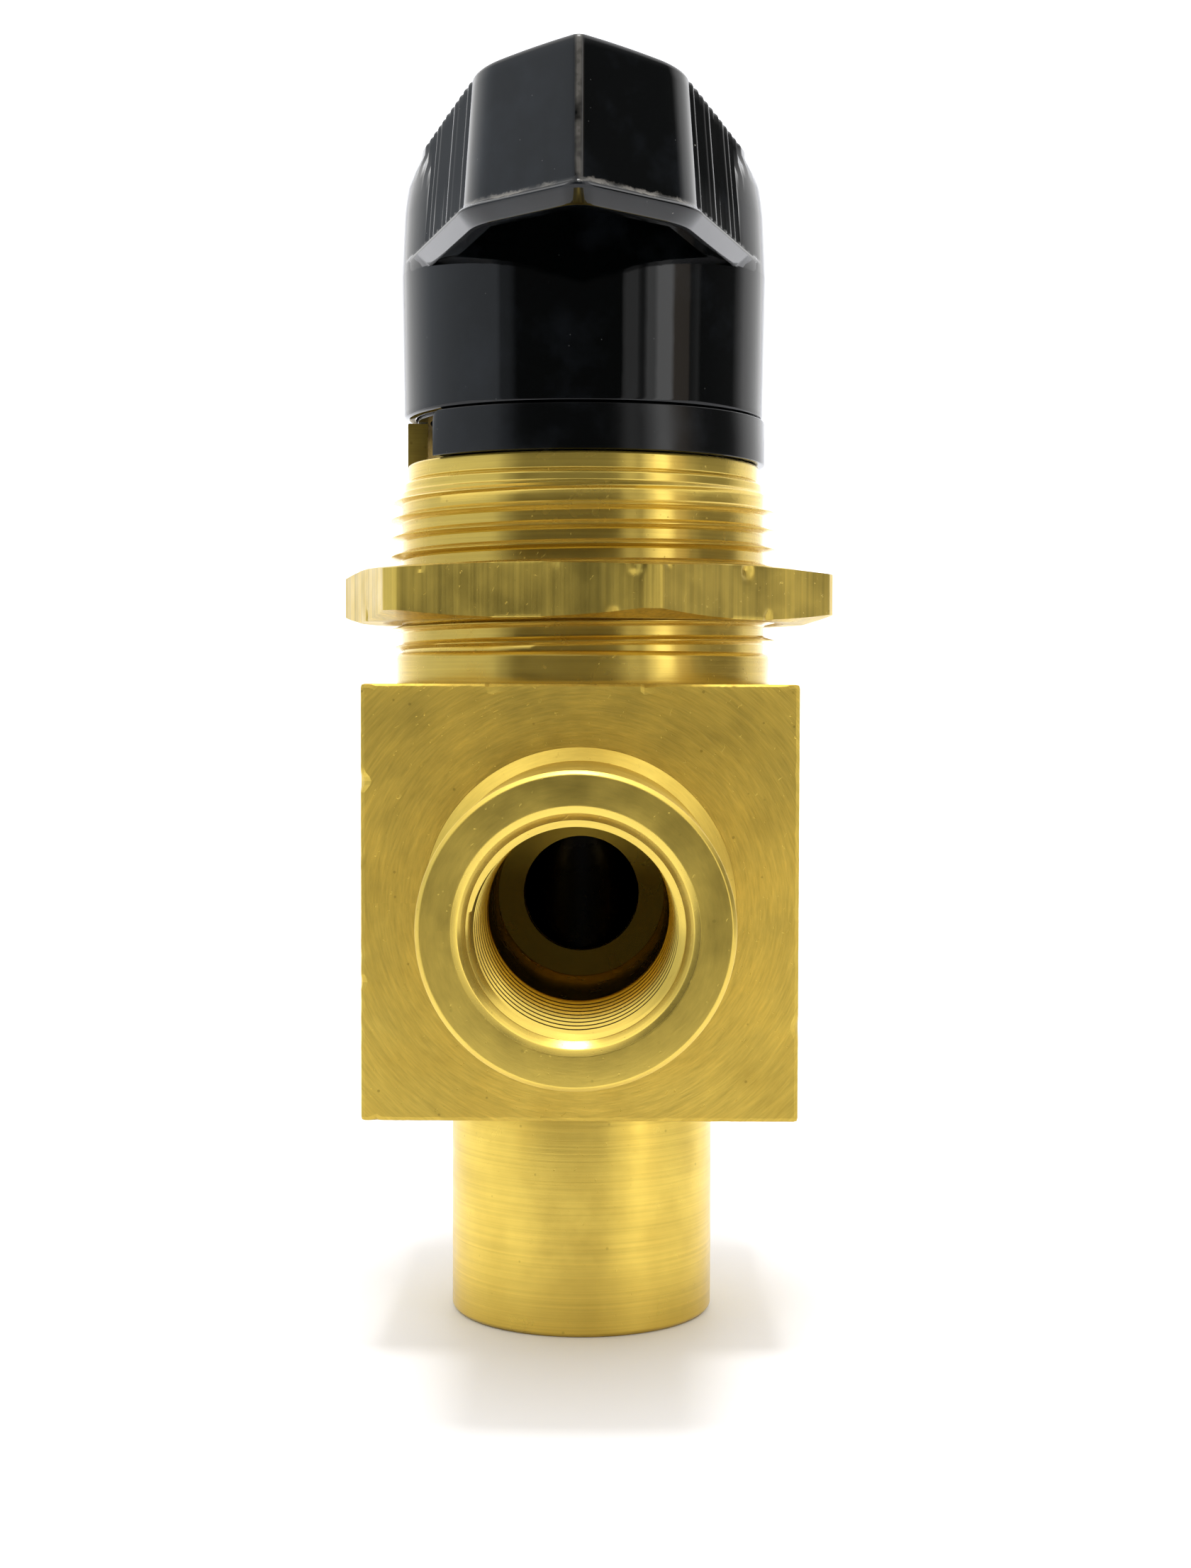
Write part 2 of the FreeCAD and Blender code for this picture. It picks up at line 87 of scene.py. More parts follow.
# The studio sheet in metres, and its colour
FLOOR_FRONT, FLOOR_BACK, FLOOR_BEND = -0.13, 0.9, 0.25
FLOOR_HALF_WIDTH, WALL_HEIGHT = 0.45, 1.2
FLOOR_WHITE = (0.84, 0.845, 0.87, 1)


def add_floor():
    """A pale sheet that ends a little in front of the object and curves up into a back wall."""
    bend_start = FLOOR_BACK - FLOOR_BEND
    outline = [(FLOOR_FRONT, 0.0), (bend_start, 0.0)]
    steps = 16
    for i in range(1, steps + 1):
        a = math.pi / 2 * i / steps
        outline.append((bend_start + FLOOR_BEND * math.sin(a), FLOOR_BEND - FLOOR_BEND * math.cos(a)))
    outline.append((FLOOR_BACK, WALL_HEIGHT))
    mesh = bpy.data.meshes.new("studio_floor")
    verts, faces = [], []
    for y, z in outline:
        verts += [(-FLOOR_HALF_WIDTH, y, z), (FLOOR_HALF_WIDTH, y, z)]
    for i in range(len(outline) - 1):
        faces.append((2 * i, 2 * i + 1, 2 * i + 3, 2 * i + 2))
    mesh.from_pydata(verts, [], faces)
    mesh.polygons.foreach_set("use_smooth", [True] * len(mesh.polygons))
    floor = new_object("studio_floor", mesh)
    material = new_material("studio_white")
    nodes(material)["shader"].inputs["Base Color"].default_value = FLOOR_WHITE
    nodes(material)["shader"].inputs["Roughness"].default_value = 0.6
    floor.data.materials.append(material)


def add_softbox(name, where, aim, size, power):
    data = bpy.data.lights.new(name, "AREA")
    data.shape = "RECTANGLE"
    data.size, data.size_y = size
    data.energy = power
    light = new_object(name, data)
    light.location = where
    light.rotation_euler = (Vector(aim) - Vector(where)).to_track_quat("-Z", "Y").to_euler()


# What stands round the object, as (degrees to the right of straight in front, brightness, warmth)
ROOM = [
    (-180, 2.0, 0), (-157, 1.9, 0), (-140, 1.4, 0), (-110, 0.9, -1), (-54, 0.88, -1), (-52.5, 0.42, -1),
    (-46, 0.36, -1), (-41, 0.06, 0), (24, 0.05, 0), (26, 0.7, 0), (34.5, 0.7, 0), (35.5, 0.22, 0),
    (39, 0.22, 0), (40, 1.2, 0), (46, 1.2, 0), (47, 2.4, 0), (57, 2.4, 0), (58.5, 0.7, 1), (69, 0.6, 1),
    (70.5, 0.16, 0), (76.5, 0.4, 0), (78, 0.09, 0), (108, 0.09, 0), (113, 0.4, 0), (121, 1.0, 0),
    (140, 1.4, 0), (157, 1.9, 0), (180, 2.0, 0),
]
WARM_TINT = {-1: (0.92, 0.98, 1.06), 0: (1.0, 1.0, 1.0), 1: (1.15, 0.98, 0.82)}
CEILING = 1.6
# The sines of the heights between which the walls pass into the ceiling
CEILING_START, CEILING_END = 0.42, 0.72


def add_room():
    """A plain room as the world: dark in front, a window to the right, pale walls to the left and behind."""
    world = bpy.data.worlds.new("studio_world")
    bpy.context.scene.world = world
    world.use_nodes = True
    coords = nodes(world).new("ShaderNodeTexCoord")
    right, away, up = split(coords.outputs["Generated"])
    azimuth = math_node("ARCTAN2", right, times(away, -1.0))
    share = plus(math_node("DIVIDE", azimuth, 2 * math.pi), 0.5)
    stops = []
    for degrees, bright, warm in ROOM:
        stops.append((degrees / 360 + 0.5, [bright * tint for tint in WARM_TINT[warm]]))
    walls = ramp(share, stops)
    height = nodes(world).new("ShaderNodeMapRange")
    height.interpolation_type = "SMOOTHSTEP"
    height.inputs["From Min"].default_value = CEILING_START
    height.inputs["From Max"].default_value = CEILING_END
    link(up, height.inputs["Value"])
    room = mix_colour(height.outputs["Result"], walls, (CEILING, CEILING, CEILING))
    rays = nodes(world).new("ShaderNodeLightPath")
    shown = mix_colour(rays.outputs["Is Camera Ray"], room, (1.0, 1.0, 1.0))
    link(shown, nodes(world)["Background"].inputs["Color"])
    nodes(world)["Background"].inputs["Strength"].default_value = 1.0


def add_studio_light():
    add_room()
    add_softbox("overhead_softbox", where=(0.0, -0.07, 0.62), aim=(0, 0, 0.05), size=(0.14, 0.14), power=2.1)
    add_softbox("backdrop_light", where=(0.0, 0.3, 0.5), aim=(0, 0.9, 0.25), size=(1.2, 0.4), power=7.0)


# ---- material helpers

def new_material(name):
    material = bpy.data.materials.new(name)
    material.use_nodes = True
    tree = material.node_tree
    tree.nodes.clear()
    output = tree.nodes.new("ShaderNodeOutputMaterial")
    shader = tree.nodes.new("ShaderNodeBsdfPrincipled")
    shader.name = "shader"
    tree.links.new(shader.outputs["BSDF"], output.inputs["Surface"])
    coords = tree.nodes.new("ShaderNodeTexCoord")
    coords.name = "coords"
    return material


def nodes(owner):
    """The nodes of a material or a world."""
    return owner.node_tree.nodes


def link(source, target):
    source.id_data.links.new(source, target)


def feed(socket, value):
    """Gives a socket a number, a colour or another node's output."""
    if isinstance(value, (int, float)):
        socket.default_value = value
    elif isinstance(value, tuple):
        socket.default_value = (*value, 1)
    else:
        link(value, socket)


def new_node(kind, *values):
    """A new node in the tree of the first of the values that is a socket."""
    socket = next(value for value in values if isinstance(value, bpy.types.NodeSocket))
    return socket.id_data.nodes.new(kind)


def place(material):
    return nodes(material)["coords"].outputs["Object"]


def split(vector):
    node = new_node("ShaderNodeSeparateXYZ", vector)
    link(vector, node.inputs[0])
    return node.outputs[0], node.outputs[1], node.outputs[2]


def combine(x, y, z):
    node = new_node("ShaderNodeCombineXYZ", x)
    for socket, value in zip(node.inputs, (x, y, z)):
        feed(socket, value)
    return node.outputs[0]


def scaled(material, scale, offset=(0, 0, 0)):
    mapping = nodes(material).new("ShaderNodeMapping")
    mapping.inputs["Scale"].default_value = scale
    mapping.inputs["Location"].default_value = offset
    link(place(material), mapping.inputs["Vector"])
    return mapping.outputs["Vector"]


def noise(vector, scale, detail=3.0, roughness=0.55):
    node = new_node("ShaderNodeTexNoise", vector)
    for name, value in (("Scale", scale), ("Detail", detail), ("Roughness", roughness), ("Vector", vector)):
        feed(node.inputs[name], value)
    return node.outputs["Fac"]


def spots(material, scale, size, offset=(0, 0, 0)):
    """Round spots in about one cell in five, as 1 inside and 0 outside."""
    node = nodes(material).new("ShaderNodeTexVoronoi")
    node.inputs["Scale"].default_value = scale
    link(scaled(material, (1, 1, 1), offset), node.inputs["Vector"])
    chosen = remap(split(node.outputs["Color"])[0], 0.8, 0.82, 0, 1)
    inside = remap(node.outputs["Distance"], size, size * 0.6, 0, 1)
    return times(inside, chosen)


def scratches(material, turn, rarity):
    """Fine scratches that all run one way; turn holds the three angles of that way in degrees."""
    width, length = 1 / 3500, 1 / 350
    mapping = nodes(material).new("ShaderNodeMapping")
    mapping.vector_type = "TEXTURE"
    mapping.inputs["Rotation"].default_value = [math.radians(angle) for angle in turn]
    mapping.inputs["Scale"].default_value = (width, width, length)
    link(place(material), mapping.inputs["Vector"])
    return remap(noise(mapping.outputs["Vector"], 1.0, 1), rarity, rarity + 0.04, 0, 1)


def ramp(source, stops):
    node = new_node("ShaderNodeValToRGB", source)
    elements = node.color_ramp.elements
    while len(elements) < len(stops):
        elements.new(0.5)
    for element, (position, colour) in zip(elements, stops):
        element.position = position
        element.color = (*colour, 1)
    link(source, node.inputs["Fac"])
    return node.outputs["Color"]


def remap(source, low, high, to_low, to_high):
    node = new_node("ShaderNodeMapRange", source)
    for name, value in (("From Min", low), ("From Max", high), ("To Min", to_low), ("To Max", to_high)):
        node.inputs[name].default_value = value
    link(source, node.inputs["Value"])
    return node.outputs["Result"]


def math_node(operation, *values):
    node = new_node("ShaderNodeMath", *values)
    node.operation = operation
    for socket, value in zip(node.inputs, values):
        feed(socket, value)
    return node.outputs["Value"]


def plus(a, b):
    return math_node("ADD", a, b)


def minus(a, b):
    return math_node("SUBTRACT", a, b)


def times(a, b):
    return math_node("MULTIPLY", a, b)


def absolute(a):
    return math_node("ABSOLUTE", a)


def mix_colour(factor, a, b, blend="MIX"):
    node = new_node("ShaderNodeMix", factor, a, b)
    node.data_type = "RGBA"
    node.blend_type = blend
    for place_in_node, value in ((0, factor), (6, a), (7, b)):
        feed(node.inputs[place_in_node], value)
    return node.outputs[2]


def mix_value(factor, a, b):
    """a where factor is 0, b where it is 1."""
    return plus(times(minus(b, a), factor), a)


def bump(height, distance, strength=1.0):
    node = new_node("ShaderNodeBump", height)
    node.inputs["Strength"].default_value = strength
    node.inputs["Distance"].default_value = distance
    link(height, node.inputs["Height"])
    return node.outputs["Normal"]


# ---- materials

BRASS = (0.80, 0.585, 0.115)
TARNISH = (0.52, 0.36, 0.06)
PIT_BROWN = (0.10, 0.06, 0.012)
BLACK, SMUDGED_BLACK = (0.001, 0.0014, 0.0015), (0.009, 0.011, 0.014)
DUST, FINE_DUST = (0.42, 0.41, 0.36), (0.35, 0.35, 0.33)
WORN_GREY = (0.22, 0.205, 0.18)


def finish_brass(material, lines, line_depth, line_shade, rough, tarnish=0.35, pits=0.25, metallic=1.0):
    """Bare brass with tool lines, soft tarnish, pits and a scratch here and there."""
    shader = nodes(material)["shader"]
    shader.inputs["Metallic"].default_value = metallic
    patches = noise(place(material), 110, 5, 0.6)
    colour = mix_colour(remap(patches, 0.42, 0.75, 0, tarnish), BRASS, TARNISH)
    shade = remap(lines, 0.3, 0.7, 1 - line_shade, 1.0)
    colour = mix_colour(1.0, colour, combine(shade, shade, shade), "MULTIPLY")
    pit = times(spots(material, scale=900, size=0.12), pits)
    colour = mix_colour(pit, colour, PIT_BROWN)
    link(colour, shader.inputs["Base Color"])
    wear = noise(scaled(material, (1, 1, 1), (1, 2, 3)), 300, 3)
    link(remap(wear, 0.3, 0.7, *rough), shader.inputs["Roughness"])
    scratch = plus(scratches(material, (25, 40, 0), 0.74), scratches(material, (70, -55, 20), 0.75))
    height = minus(lines, times(scratch, 0.9))
    link(bump(height, line_depth), shader.inputs["Normal"])
    return material


def port_lines(material):
    """Tool marks round the port axis, on a face across the axis or a surface turned about it."""
    x, y, z = split(place(material))
    across = minus(z, PORT_Z * MM)
    radius = math_node("POWER", plus(times(x, x), times(across, across)), 0.5)
    angle = math_node("ARCTAN2", across, x)

    def marks(per_metre, per_radian, detail, roughness):
        way = combine(times(radius, per_metre), times(angle, per_radian), times(y, per_metre))
        return noise(way, 1.0, detail, roughness)

    fine = marks(6500.0, 9.0, 3, 0.65)
    broad = marks(2100.0, 4.0, 2, 0.6)
    return plus(times(fine, 0.6), times(broad, 0.4))


def block_brass(name):
    """Faced brass: tool marks round the port axis on the two port faces, drawn lines on the others."""
    material = new_material(name)
    drawn = noise(scaled(material, (1200, 1200, 45)), 1.0, 3, 0.6)
    facing = absolute(split(nodes(material)["coords"].outputs["Normal"])[1])
    on_face = remap(facing, 0.7, 0.9, 0, 1)
    lines = mix_value(on_face, drawn, port_lines(material))
    return finish_brass(material, lines, line_depth=0.000022, line_shade=0.3, rough=(0.5, 0.64), tarnish=0.45,
                        pits=0.35)


def boss_brass(name):
    """The outside of a port boss, turned finer than the block's face."""
    material = new_material(name)
    lines = port_lines(material)
    return finish_brass(material, lines, line_depth=0.00001, line_shade=0.16, rough=(0.36, 0.48), tarnish=0.3,
                        pits=0.2)


def turned_brass(name, rough, line_shade=0.2, line_depth=0.00001, tarnish=0.3, metallic=0.7):
    """Brass turned on a lathe: fine level lines round the Z axis."""
    material = new_material(name)
    lines = noise(scaled(material, (40, 40, 5200)), 1.0, 3, 0.65)
    finish_brass(material, lines, line_depth, line_shade, rough, tarnish, metallic=metallic)
    tangent = nodes(material).new("ShaderNodeTangent")
    tangent.direction_type = "RADIAL"
    tangent.axis = "Z"
    shader = nodes(material)["shader"]
    link(tangent.outputs["Tangent"], shader.inputs["Tangent"])
    shader.inputs["Anisotropic"].default_value = 0.55
    shader.inputs["Anisotropic Rotation"].default_value = 0.25
    return material


def milled_brass(name):
    """Brass bar with upright milling lines of uneven strength."""
    material = new_material(name)
    fine = noise(scaled(material, (2300, 2300, 35)), 1.0, 2, 0.6)
    broad = noise(scaled(material, (500, 500, 30), (4, 2, 1)), 1.0, 2, 0.5)
    lines = times(plus(fine, broad), 0.5)
    return finish_brass(material, lines, line_depth=0.00005, line_shade=0.5, rough=(0.34, 0.5), metallic=0.9)


def bore_brass(name):
    """Brass inside the ports, turned round the port axis, with painted shade darkening and browning it
    further in.
    """
    material = new_material(name)
    y = split(place(material))[1]
    lines = noise(combine(times(y, 2500.0), 0.0, 0.0), 1.0, 2)
    finish_brass(material, lines, line_depth=0.000005, line_shade=0.2, rough=(0.18, 0.3), tarnish=0.3,
                 pits=0.2, metallic=0.85)
    base = nodes(material)["shader"].inputs["Base Color"]
    # Painted shade: further into the bore the brass is darkened and browned to stand in for the shade there,
    # and it keeps full colour at the mouth
    painted_shade_deep_end, painted_shade_clear_start, painted_shade_level = 0.0205, 0.0222, 0.68
    red = remap(absolute(y), painted_shade_deep_end, painted_shade_clear_start, painted_shade_level, 1.0)
    green = math_node("POWER", red, 1.3)
    blue = math_node("POWER", red, 3.0)
    painted_bore_shade = combine(red, green, blue)
    link(mix_colour(1.0, base.links[0].from_socket, painted_bore_shade, "MULTIPLY"), base)
    return material


def worn_line(material, worn):
    """A ragged worn line at the height worn round the handle's two ends, and up their noses, as 0 to 1."""
    x, y, z = split(place(material))
    ragged = noise(scaled(material, (1, 1, 1), (3, 1, 4)), 900, 4, 0.7)
    shift = times(minus(ragged, 0.5), 0.0009)
    offset = absolute(minus(plus(z, shift), worn))
    band = remap(offset, 0.00022, 0.00008, 0, 1)
    patchy = remap(noise(scaled(material, (1, 1, 1), (9, 1, 4)), 420, 3), 0.4, 0.56, 0, 1)
    from_middle = absolute(y)
    ends = remap(from_middle, 0.0225, 0.0245, 0, 1)
    normal_x, normal_y, _ = split(nodes(material)["coords"].outputs["Normal"])
    outwards = plus(times(normal_x, x), times(normal_y, y))
    ends = times(ends, math_node("GREATER_THAN", outwards, 0.0))
    foot = times(times(band, patchy), ends)
    nose = remap(absolute(x), 0.0003, 0.0001, 0, 0.7)
    nose = times(nose, math_node("GREATER_THAN", z, worn))
    foremost = remap(from_middle, 0.0296, 0.0301, 0, 1)
    nose = times(times(nose, patchy), foremost)
    return math_node("MAXIMUM", foot, nose)


def black_plastic(name, rough=(0.035, 0.1), worn=0.0):
    """Glossy black plastic with smudges and dust; worn is the height of its worn line, if it has one."""
    material = new_material(name)
    shader = nodes(material)["shader"]
    smudge = noise(scaled(material, (1, 1, 1), (2, 5, 1)), 170, 5, 0.6)
    colour = ramp(smudge, [(0.52, BLACK), (0.8, SMUDGED_BLACK)])
    dust = times(spots(material, scale=620, size=0.045), 0.7)
    colour = mix_colour(dust, colour, DUST)
    fine_dust = times(spots(material, scale=1300, size=0.06, offset=(7, 3, 1)), 0.3)
    colour = mix_colour(fine_dust, colour, FINE_DUST)
    haze = remap(smudge, 0.45, 0.75, *rough)
    if worn:
        mark = worn_line(material, worn)
        colour = mix_colour(times(mark, 0.7), colour, WORN_GREY)
        haze = plus(haze, times(mark, 0.4))
    link(colour, shader.inputs["Base Color"])
    link(haze, shader.inputs["Roughness"])
    shader.inputs["IOR"].default_value = 1.41
    ripple = noise(scaled(material, (1, 1, 1), (4, 4, 4)), 420, 2)
    link(bump(ripple, distance=0.000012, strength=0.5), shader.inputs["Normal"])
    return material


def plain_metal(name, tint, rough):
    material = new_material(name)
    shader = nodes(material)["shader"]
    shader.inputs["Metallic"].default_value = 1.0
    grain = noise(place(material), 900, 3)
    dark = tuple(0.7 * c for c in tint)
    link(ramp(grain, [(0.3, dark), (0.7, tint)]), shader.inputs["Base Color"])
    link(remap(grain, 0.3, 0.7, rough * 0.8, rough * 1.3), shader.inputs["Roughness"])
    return material


def black_rubber(name):
    material = new_material(name)
    shader = nodes(material)["shader"]
    grain = noise(place(material), 3000, 2)
    link(ramp(grain, [(0.3, (0.01, 0.01, 0.01)), (0.7, (0.03, 0.03, 0.03))]), shader.inputs["Base Color"])
    shader.inputs["Roughness"].default_value = 0.55
    link(bump(grain, distance=0.00002, strength=0.5), shader.inputs["Normal"])
    return material


# ---- mesh helpers

# Edges that turn by more than this many degrees stay sharp
SHARP_ANGLE = 32


def new_piece(name, verts, faces, material, body, sharp_angle=SHARP_ANGLE):
    mesh = bpy.data.meshes.new(name)
    mesh.from_pydata([Vector(v) * MM for v in verts], [], faces)
    piece = new_object(name, mesh)
    tidy_mesh(mesh, sharp_angle)
    mesh.materials.append(material)
    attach(piece, body)
    return piece


def tidy_mesh(mesh, sharp_angle=SHARP_ANGLE):
    """Merges double points, drops faces without area, and shades smooth with sharp corners."""
    work = bmesh.new()
    work.from_mesh(mesh)
    bmesh.ops.remove_doubles(work, verts=work.verts, dist=2e-6)
    bmesh.ops.dissolve_degenerate(work, edges=work.edges, dist=1e-6)
    bmesh.ops.recalc_face_normals(work, faces=work.faces)
    limit = math.radians(sharp_angle)
    for edge in work.edges:
        edge.smooth = not (edge.is_manifold and edge.calc_face_angle(0) > limit)
    for face in work.faces:
        face.smooth = True
    work.to_mesh(mesh)
    work.free()


def grid_faces(rows, columns, closed_rows=False):
    """Faces of a grid whose columns wrap round; rows wrap too if closed."""
    faces = []
    for i in range(rows if closed_rows else rows - 1):
        here, there = i * columns, (i + 1) % rows * columns
        for j in range(columns):
            k = (j + 1) % columns
            faces.append((here + j, here + k, there + k, there + j))
    return faces


def rounded_profile(points):
    """Points (radius, height, round) as a line whose corners, except at its two ends, are short arcs."""
    eased = []
    steps = 3
    for i, (radius, height, size) in enumerate(points):
        here = Vector((radius, height))
        if i in (0, len(points) - 1) or size == 0:
            eased.append(here)
            continue
        before = Vector(points[i - 1][:2]) - here
        after = Vector(points[i + 1][:2]) - here
        reach = min(size, before.length * 0.45, after.length * 0.45)
        start, end = here + before.normalized() * reach, here + after.normalized() * reach
        for k in range(steps + 1):
            t = k / steps
            eased.append((1 - t) ** 2 * start + 2 * t * (1 - t) * here + t ** 2 * end)
    return eased


def lathe_grid(profile, segments=SEGMENTS):
    """The (verts, faces) of points (radius, height) turned about Z."""
    verts = []
    for radius, height in profile:
        for j in range(segments):
            a = 2 * math.pi * j / segments
            verts.append((radius * math.cos(a), radius * math.sin(a), height))
    return verts, grid_faces(len(profile), segments)


def laid_on_port(verts, direction):
    """Points turned about Z laid along the port axis: height becomes the distance out of the port."""
    return [(x, z * direction, PORT_Z - y * direction) for x, y, z in verts]


# Shape of one thread turn: share of the pitch, share of the depth
THREAD_TURN = [(0.0, 0.0), (0.5, 0.0), (0.58, 0.1), (0.7, 0.94), (0.72, 1.0), (0.76, 1.0), (0.78, 0.94),
               (0.92, 0.1)]
PORT_TURN = [(0.0, 0.0), (0.2, 0.0), (0.4, 1.0), (0.72, 1.0), (0.95, 0.0)]


def thread_rows(root, low, high, depth, run_in, run_out, turn_shape, inward=False):
    """Rows of (radius, height) round a right-hand thread; root is a radius, or a function of the height."""
    turns = int((high - low) / PITCH) + 2
    rows = []
    for turn in range(-1, turns):
        for share, rise in turn_shape:
            row = []
            for j in range(SEGMENTS + 1):
                z = low + PITCH * (turn + share + j / SEGMENTS)
                z = min(max(z, low), high)
                ease = min(1.0, (z - low) / run_in, (high - z) / run_out)
                offset = max(0.0, ease) * rise * depth
                base = root(z) if callable(root) else root
                row.append((base - offset if inward else base + offset, z))
            rows.append(row)
    return rows


def thread_strip(rows):
    """A helical sheet: column 0 and the last column meet one turn apart."""
    verts, faces = [], []
    columns = SEGMENTS + 1
    for row in rows:
        for j, (radius, z) in enumerate(row):
            a = 2 * math.pi * j / SEGMENTS
            verts.append((radius * math.cos(a), radius * math.sin(a), z))
    for i in range(len(rows) - 1):
        for j in range(SEGMENTS):
            a = i * columns + j
            faces.append((a, a + 1, a + columns + 1, a + columns))
    return verts, faces


def joined(*parts):
    """Several (verts, faces) lists as one."""
    verts, faces = [], []
    for more_verts, more_faces in parts:
        base = len(verts)
        verts += more_verts
        faces += [tuple(base + k for k in face) for face in more_faces]
    return verts, faces


def cut_away(piece, cutters, sharp_angle=SHARP_ANGLE):
    """Takes closed (verts, faces) solids out of a piece, one after another."""
    for verts, faces in cutters:
        mesh = bpy.data.meshes.new("cutter")
        mesh.from_pydata([Vector(v) * MM for v in verts], [], faces)
        tidy_mesh(mesh)
        tool = new_object("cutter", mesh)
        modifier = piece.modifiers.new("cut", "BOOLEAN")
        modifier.operation = "DIFFERENCE"
        modifier.solver = "EXACT"
        modifier.object = tool
        graph = bpy.context.evaluated_depsgraph_get()
        result = bpy.data.meshes.new_from_object(piece.evaluated_get(graph))
        piece.modifiers.remove(modifier)
        piece.data = result
        bpy.data.objects.remove(tool)
        bpy.data.meshes.remove(mesh)
    tidy_mesh(piece.data, sharp_angle)


def wobble(x, y=0.0, z=0.0):
    """Smooth repeatable noise from -1 to 1."""
    return value_noise.noise(Vector((x, y, z)))


# ---- body block

EDGE_BEVEL = 0.3
EDGE_CUTS = 110
# How far from a corner the edges start to be worn, and how far the worn top edges sag
WORN_FROM, TOP_SAG = 0.4, 0.26
# Nicks in the block's edges: the coordinate that runs along the edge, the signs of the other two, the place
# along the edge, the size and the depth
EDGE_NICKS = [(2, (-1, -1), 42.2, 0.7, 0.5), (2, (-1, -1), 27.6, 0.5, 0.22), (2, (1, -1), 24.4, 0.8, 0.3),
              (0, (-1, -1), -15.0, 0.6, 0.35), (0, (-1, 1), -6.4, 0.5, 0.15), (0, (-1, 1), 4.9, 0.6, 0.18)]


def edge_wear(axis, signs, along):
    """How much wider than EDGE_BEVEL the bevel is at one place on an edge."""
    key = 10 * axis + 3 * signs[0] + signs[1]
    wear = 0.07 * wobble(0.9 * along, key) + 0.05 * wobble(3.1 * along, key, 5)
    for nick_axis, nick_signs, place_along, size, depth in EDGE_NICKS:
        if (nick_axis, nick_signs) == (axis, signs):
            wear += depth * max(0.0, 1 - ((along - place_along) / size) ** 2)
    return wear


def worn_cube():
    """The square block as a mesh whose bevelled edges are finely divided and slightly uneven."""
    middle = Vector((0, 0, (BLOCK_LOW + BLOCK_HIGH) / 2))
    close = 0.001
    work = bmesh.new()
    bmesh.ops.create_cube(work, size=2 * BLOCK_HALF)
    bmesh.ops.bevel(work, geom=list(work.edges), offset=EDGE_BEVEL, segments=2, profile=0.62, affect="EDGES")
    flats = [face for face in work.faces if face.calc_area() > BLOCK_HALF ** 2]
    bmesh.ops.delete(work, geom=flats, context="FACES_ONLY")
    long_edges = [edge for edge in work.edges if edge.calc_length() > BLOCK_HALF]
    bmesh.ops.subdivide_edges(work, edges=long_edges, cuts=EDGE_CUTS, use_grid_fill=True)
    bmesh.ops.holes_fill(work, edges=[edge for edge in work.edges if edge.is_boundary], sides=0)
    flat_place = BLOCK_HALF - EDGE_BEVEL
    worn_end = flat_place - WORN_FROM
    for vert in work.verts:
        sizes = [abs(c) for c in vert.co]
        axis = sizes.index(min(sizes))
        if sizes[axis] > worn_end:
            continue
        others = [k for k in range(3) if k != axis]
        signs = tuple(1 if vert.co[k] > 0 else -1 for k in others)
        along = vert.co[axis] + (middle.z if axis == 2 else 0)
        fade = min(1.0, (worn_end - sizes[axis]) / 0.5)
        wear = fade * edge_wear(axis, signs, along)
        for k, sign in zip(others, signs):
            if sizes[k] < BLOCK_HALF - close:
                vert.co[k] -= sign * wear * (1.0 if sizes[k] < flat_place + close else 0.45)
        if axis != 2 and vert.co.z > 0:
            front = sizes[1 - axis]
            sag = fade * (TOP_SAG + 0.09 * wobble(2.1 * along, axis) + 0.08 * wobble(6.3 * along, axis, 3))
            if front > BLOCK_HALF - close:
                vert.co.z -= sag
            elif front > flat_place + close:
                vert.co.z -= 0.4 * sag
            else:
                vert.co[1 - axis] *= 1 + 0.08 / flat_place
    for vert in work.verts:
        vert.co += middle
    verts = [tuple(vert.co) for vert in work.verts]
    work.verts.index_update()
    faces = [tuple(vert.index for vert in face.verts) for face in work.faces]
    work.free()
    return verts, faces


# Radii of the port bosses and distances from the middle, shared by the bosses and the holes that take them
BOSS_ROOT = 11.35
BOSS_SHOULDER = 15.4
SLEEVE_RADIUS = 8.0
SLEEVE_END = 6.7
INLET_PASSAGE = 4.36
OUTLET_PASSAGE = 1.9
OUTLET_PASSAGE_Y = 10.2
INLET_BORE_END, OUTLET_BORE_END = 7.1, 8.3
PORT_TIP = 35.15
# The taper thread in the ports: where it starts and ends, and its radius at the start
PORT_THREAD_LOW, PORT_THREAD_HIGH, PORT_THREAD_RADIUS = 21.2, 34.4, 6.75
PORT_TAPER = 0.36 / (PORT_THREAD_HIGH - PORT_THREAD_LOW)
# The block's upright cavity as (radius, height), from the bottom cap up to the bonnet
CAVITY = [(0, 17.0), (9.05, 17.0), (9.05, 22.5), (6.4, 22.5), (6.4, 38.6), (6.9, 38.6), (6.9, 41.6),
          (12.2, 41.6), (12.2, 43.8), (13.3, 43.8), (13.3, 48.9), (14.72, 48.9), (14.72, 50.0), (0, 50.0)]


def outlet_passage(low, high):
    """The upright hole, set back from the middle, that leads down to the rear port."""
    verts, faces = lathe_grid([(0, low), (OUTLET_PASSAGE, low), (OUTLET_PASSAGE, high), (0, high)], 48)
    return [(x, y + OUTLET_PASSAGE_Y, z) for x, y, z in verts], faces


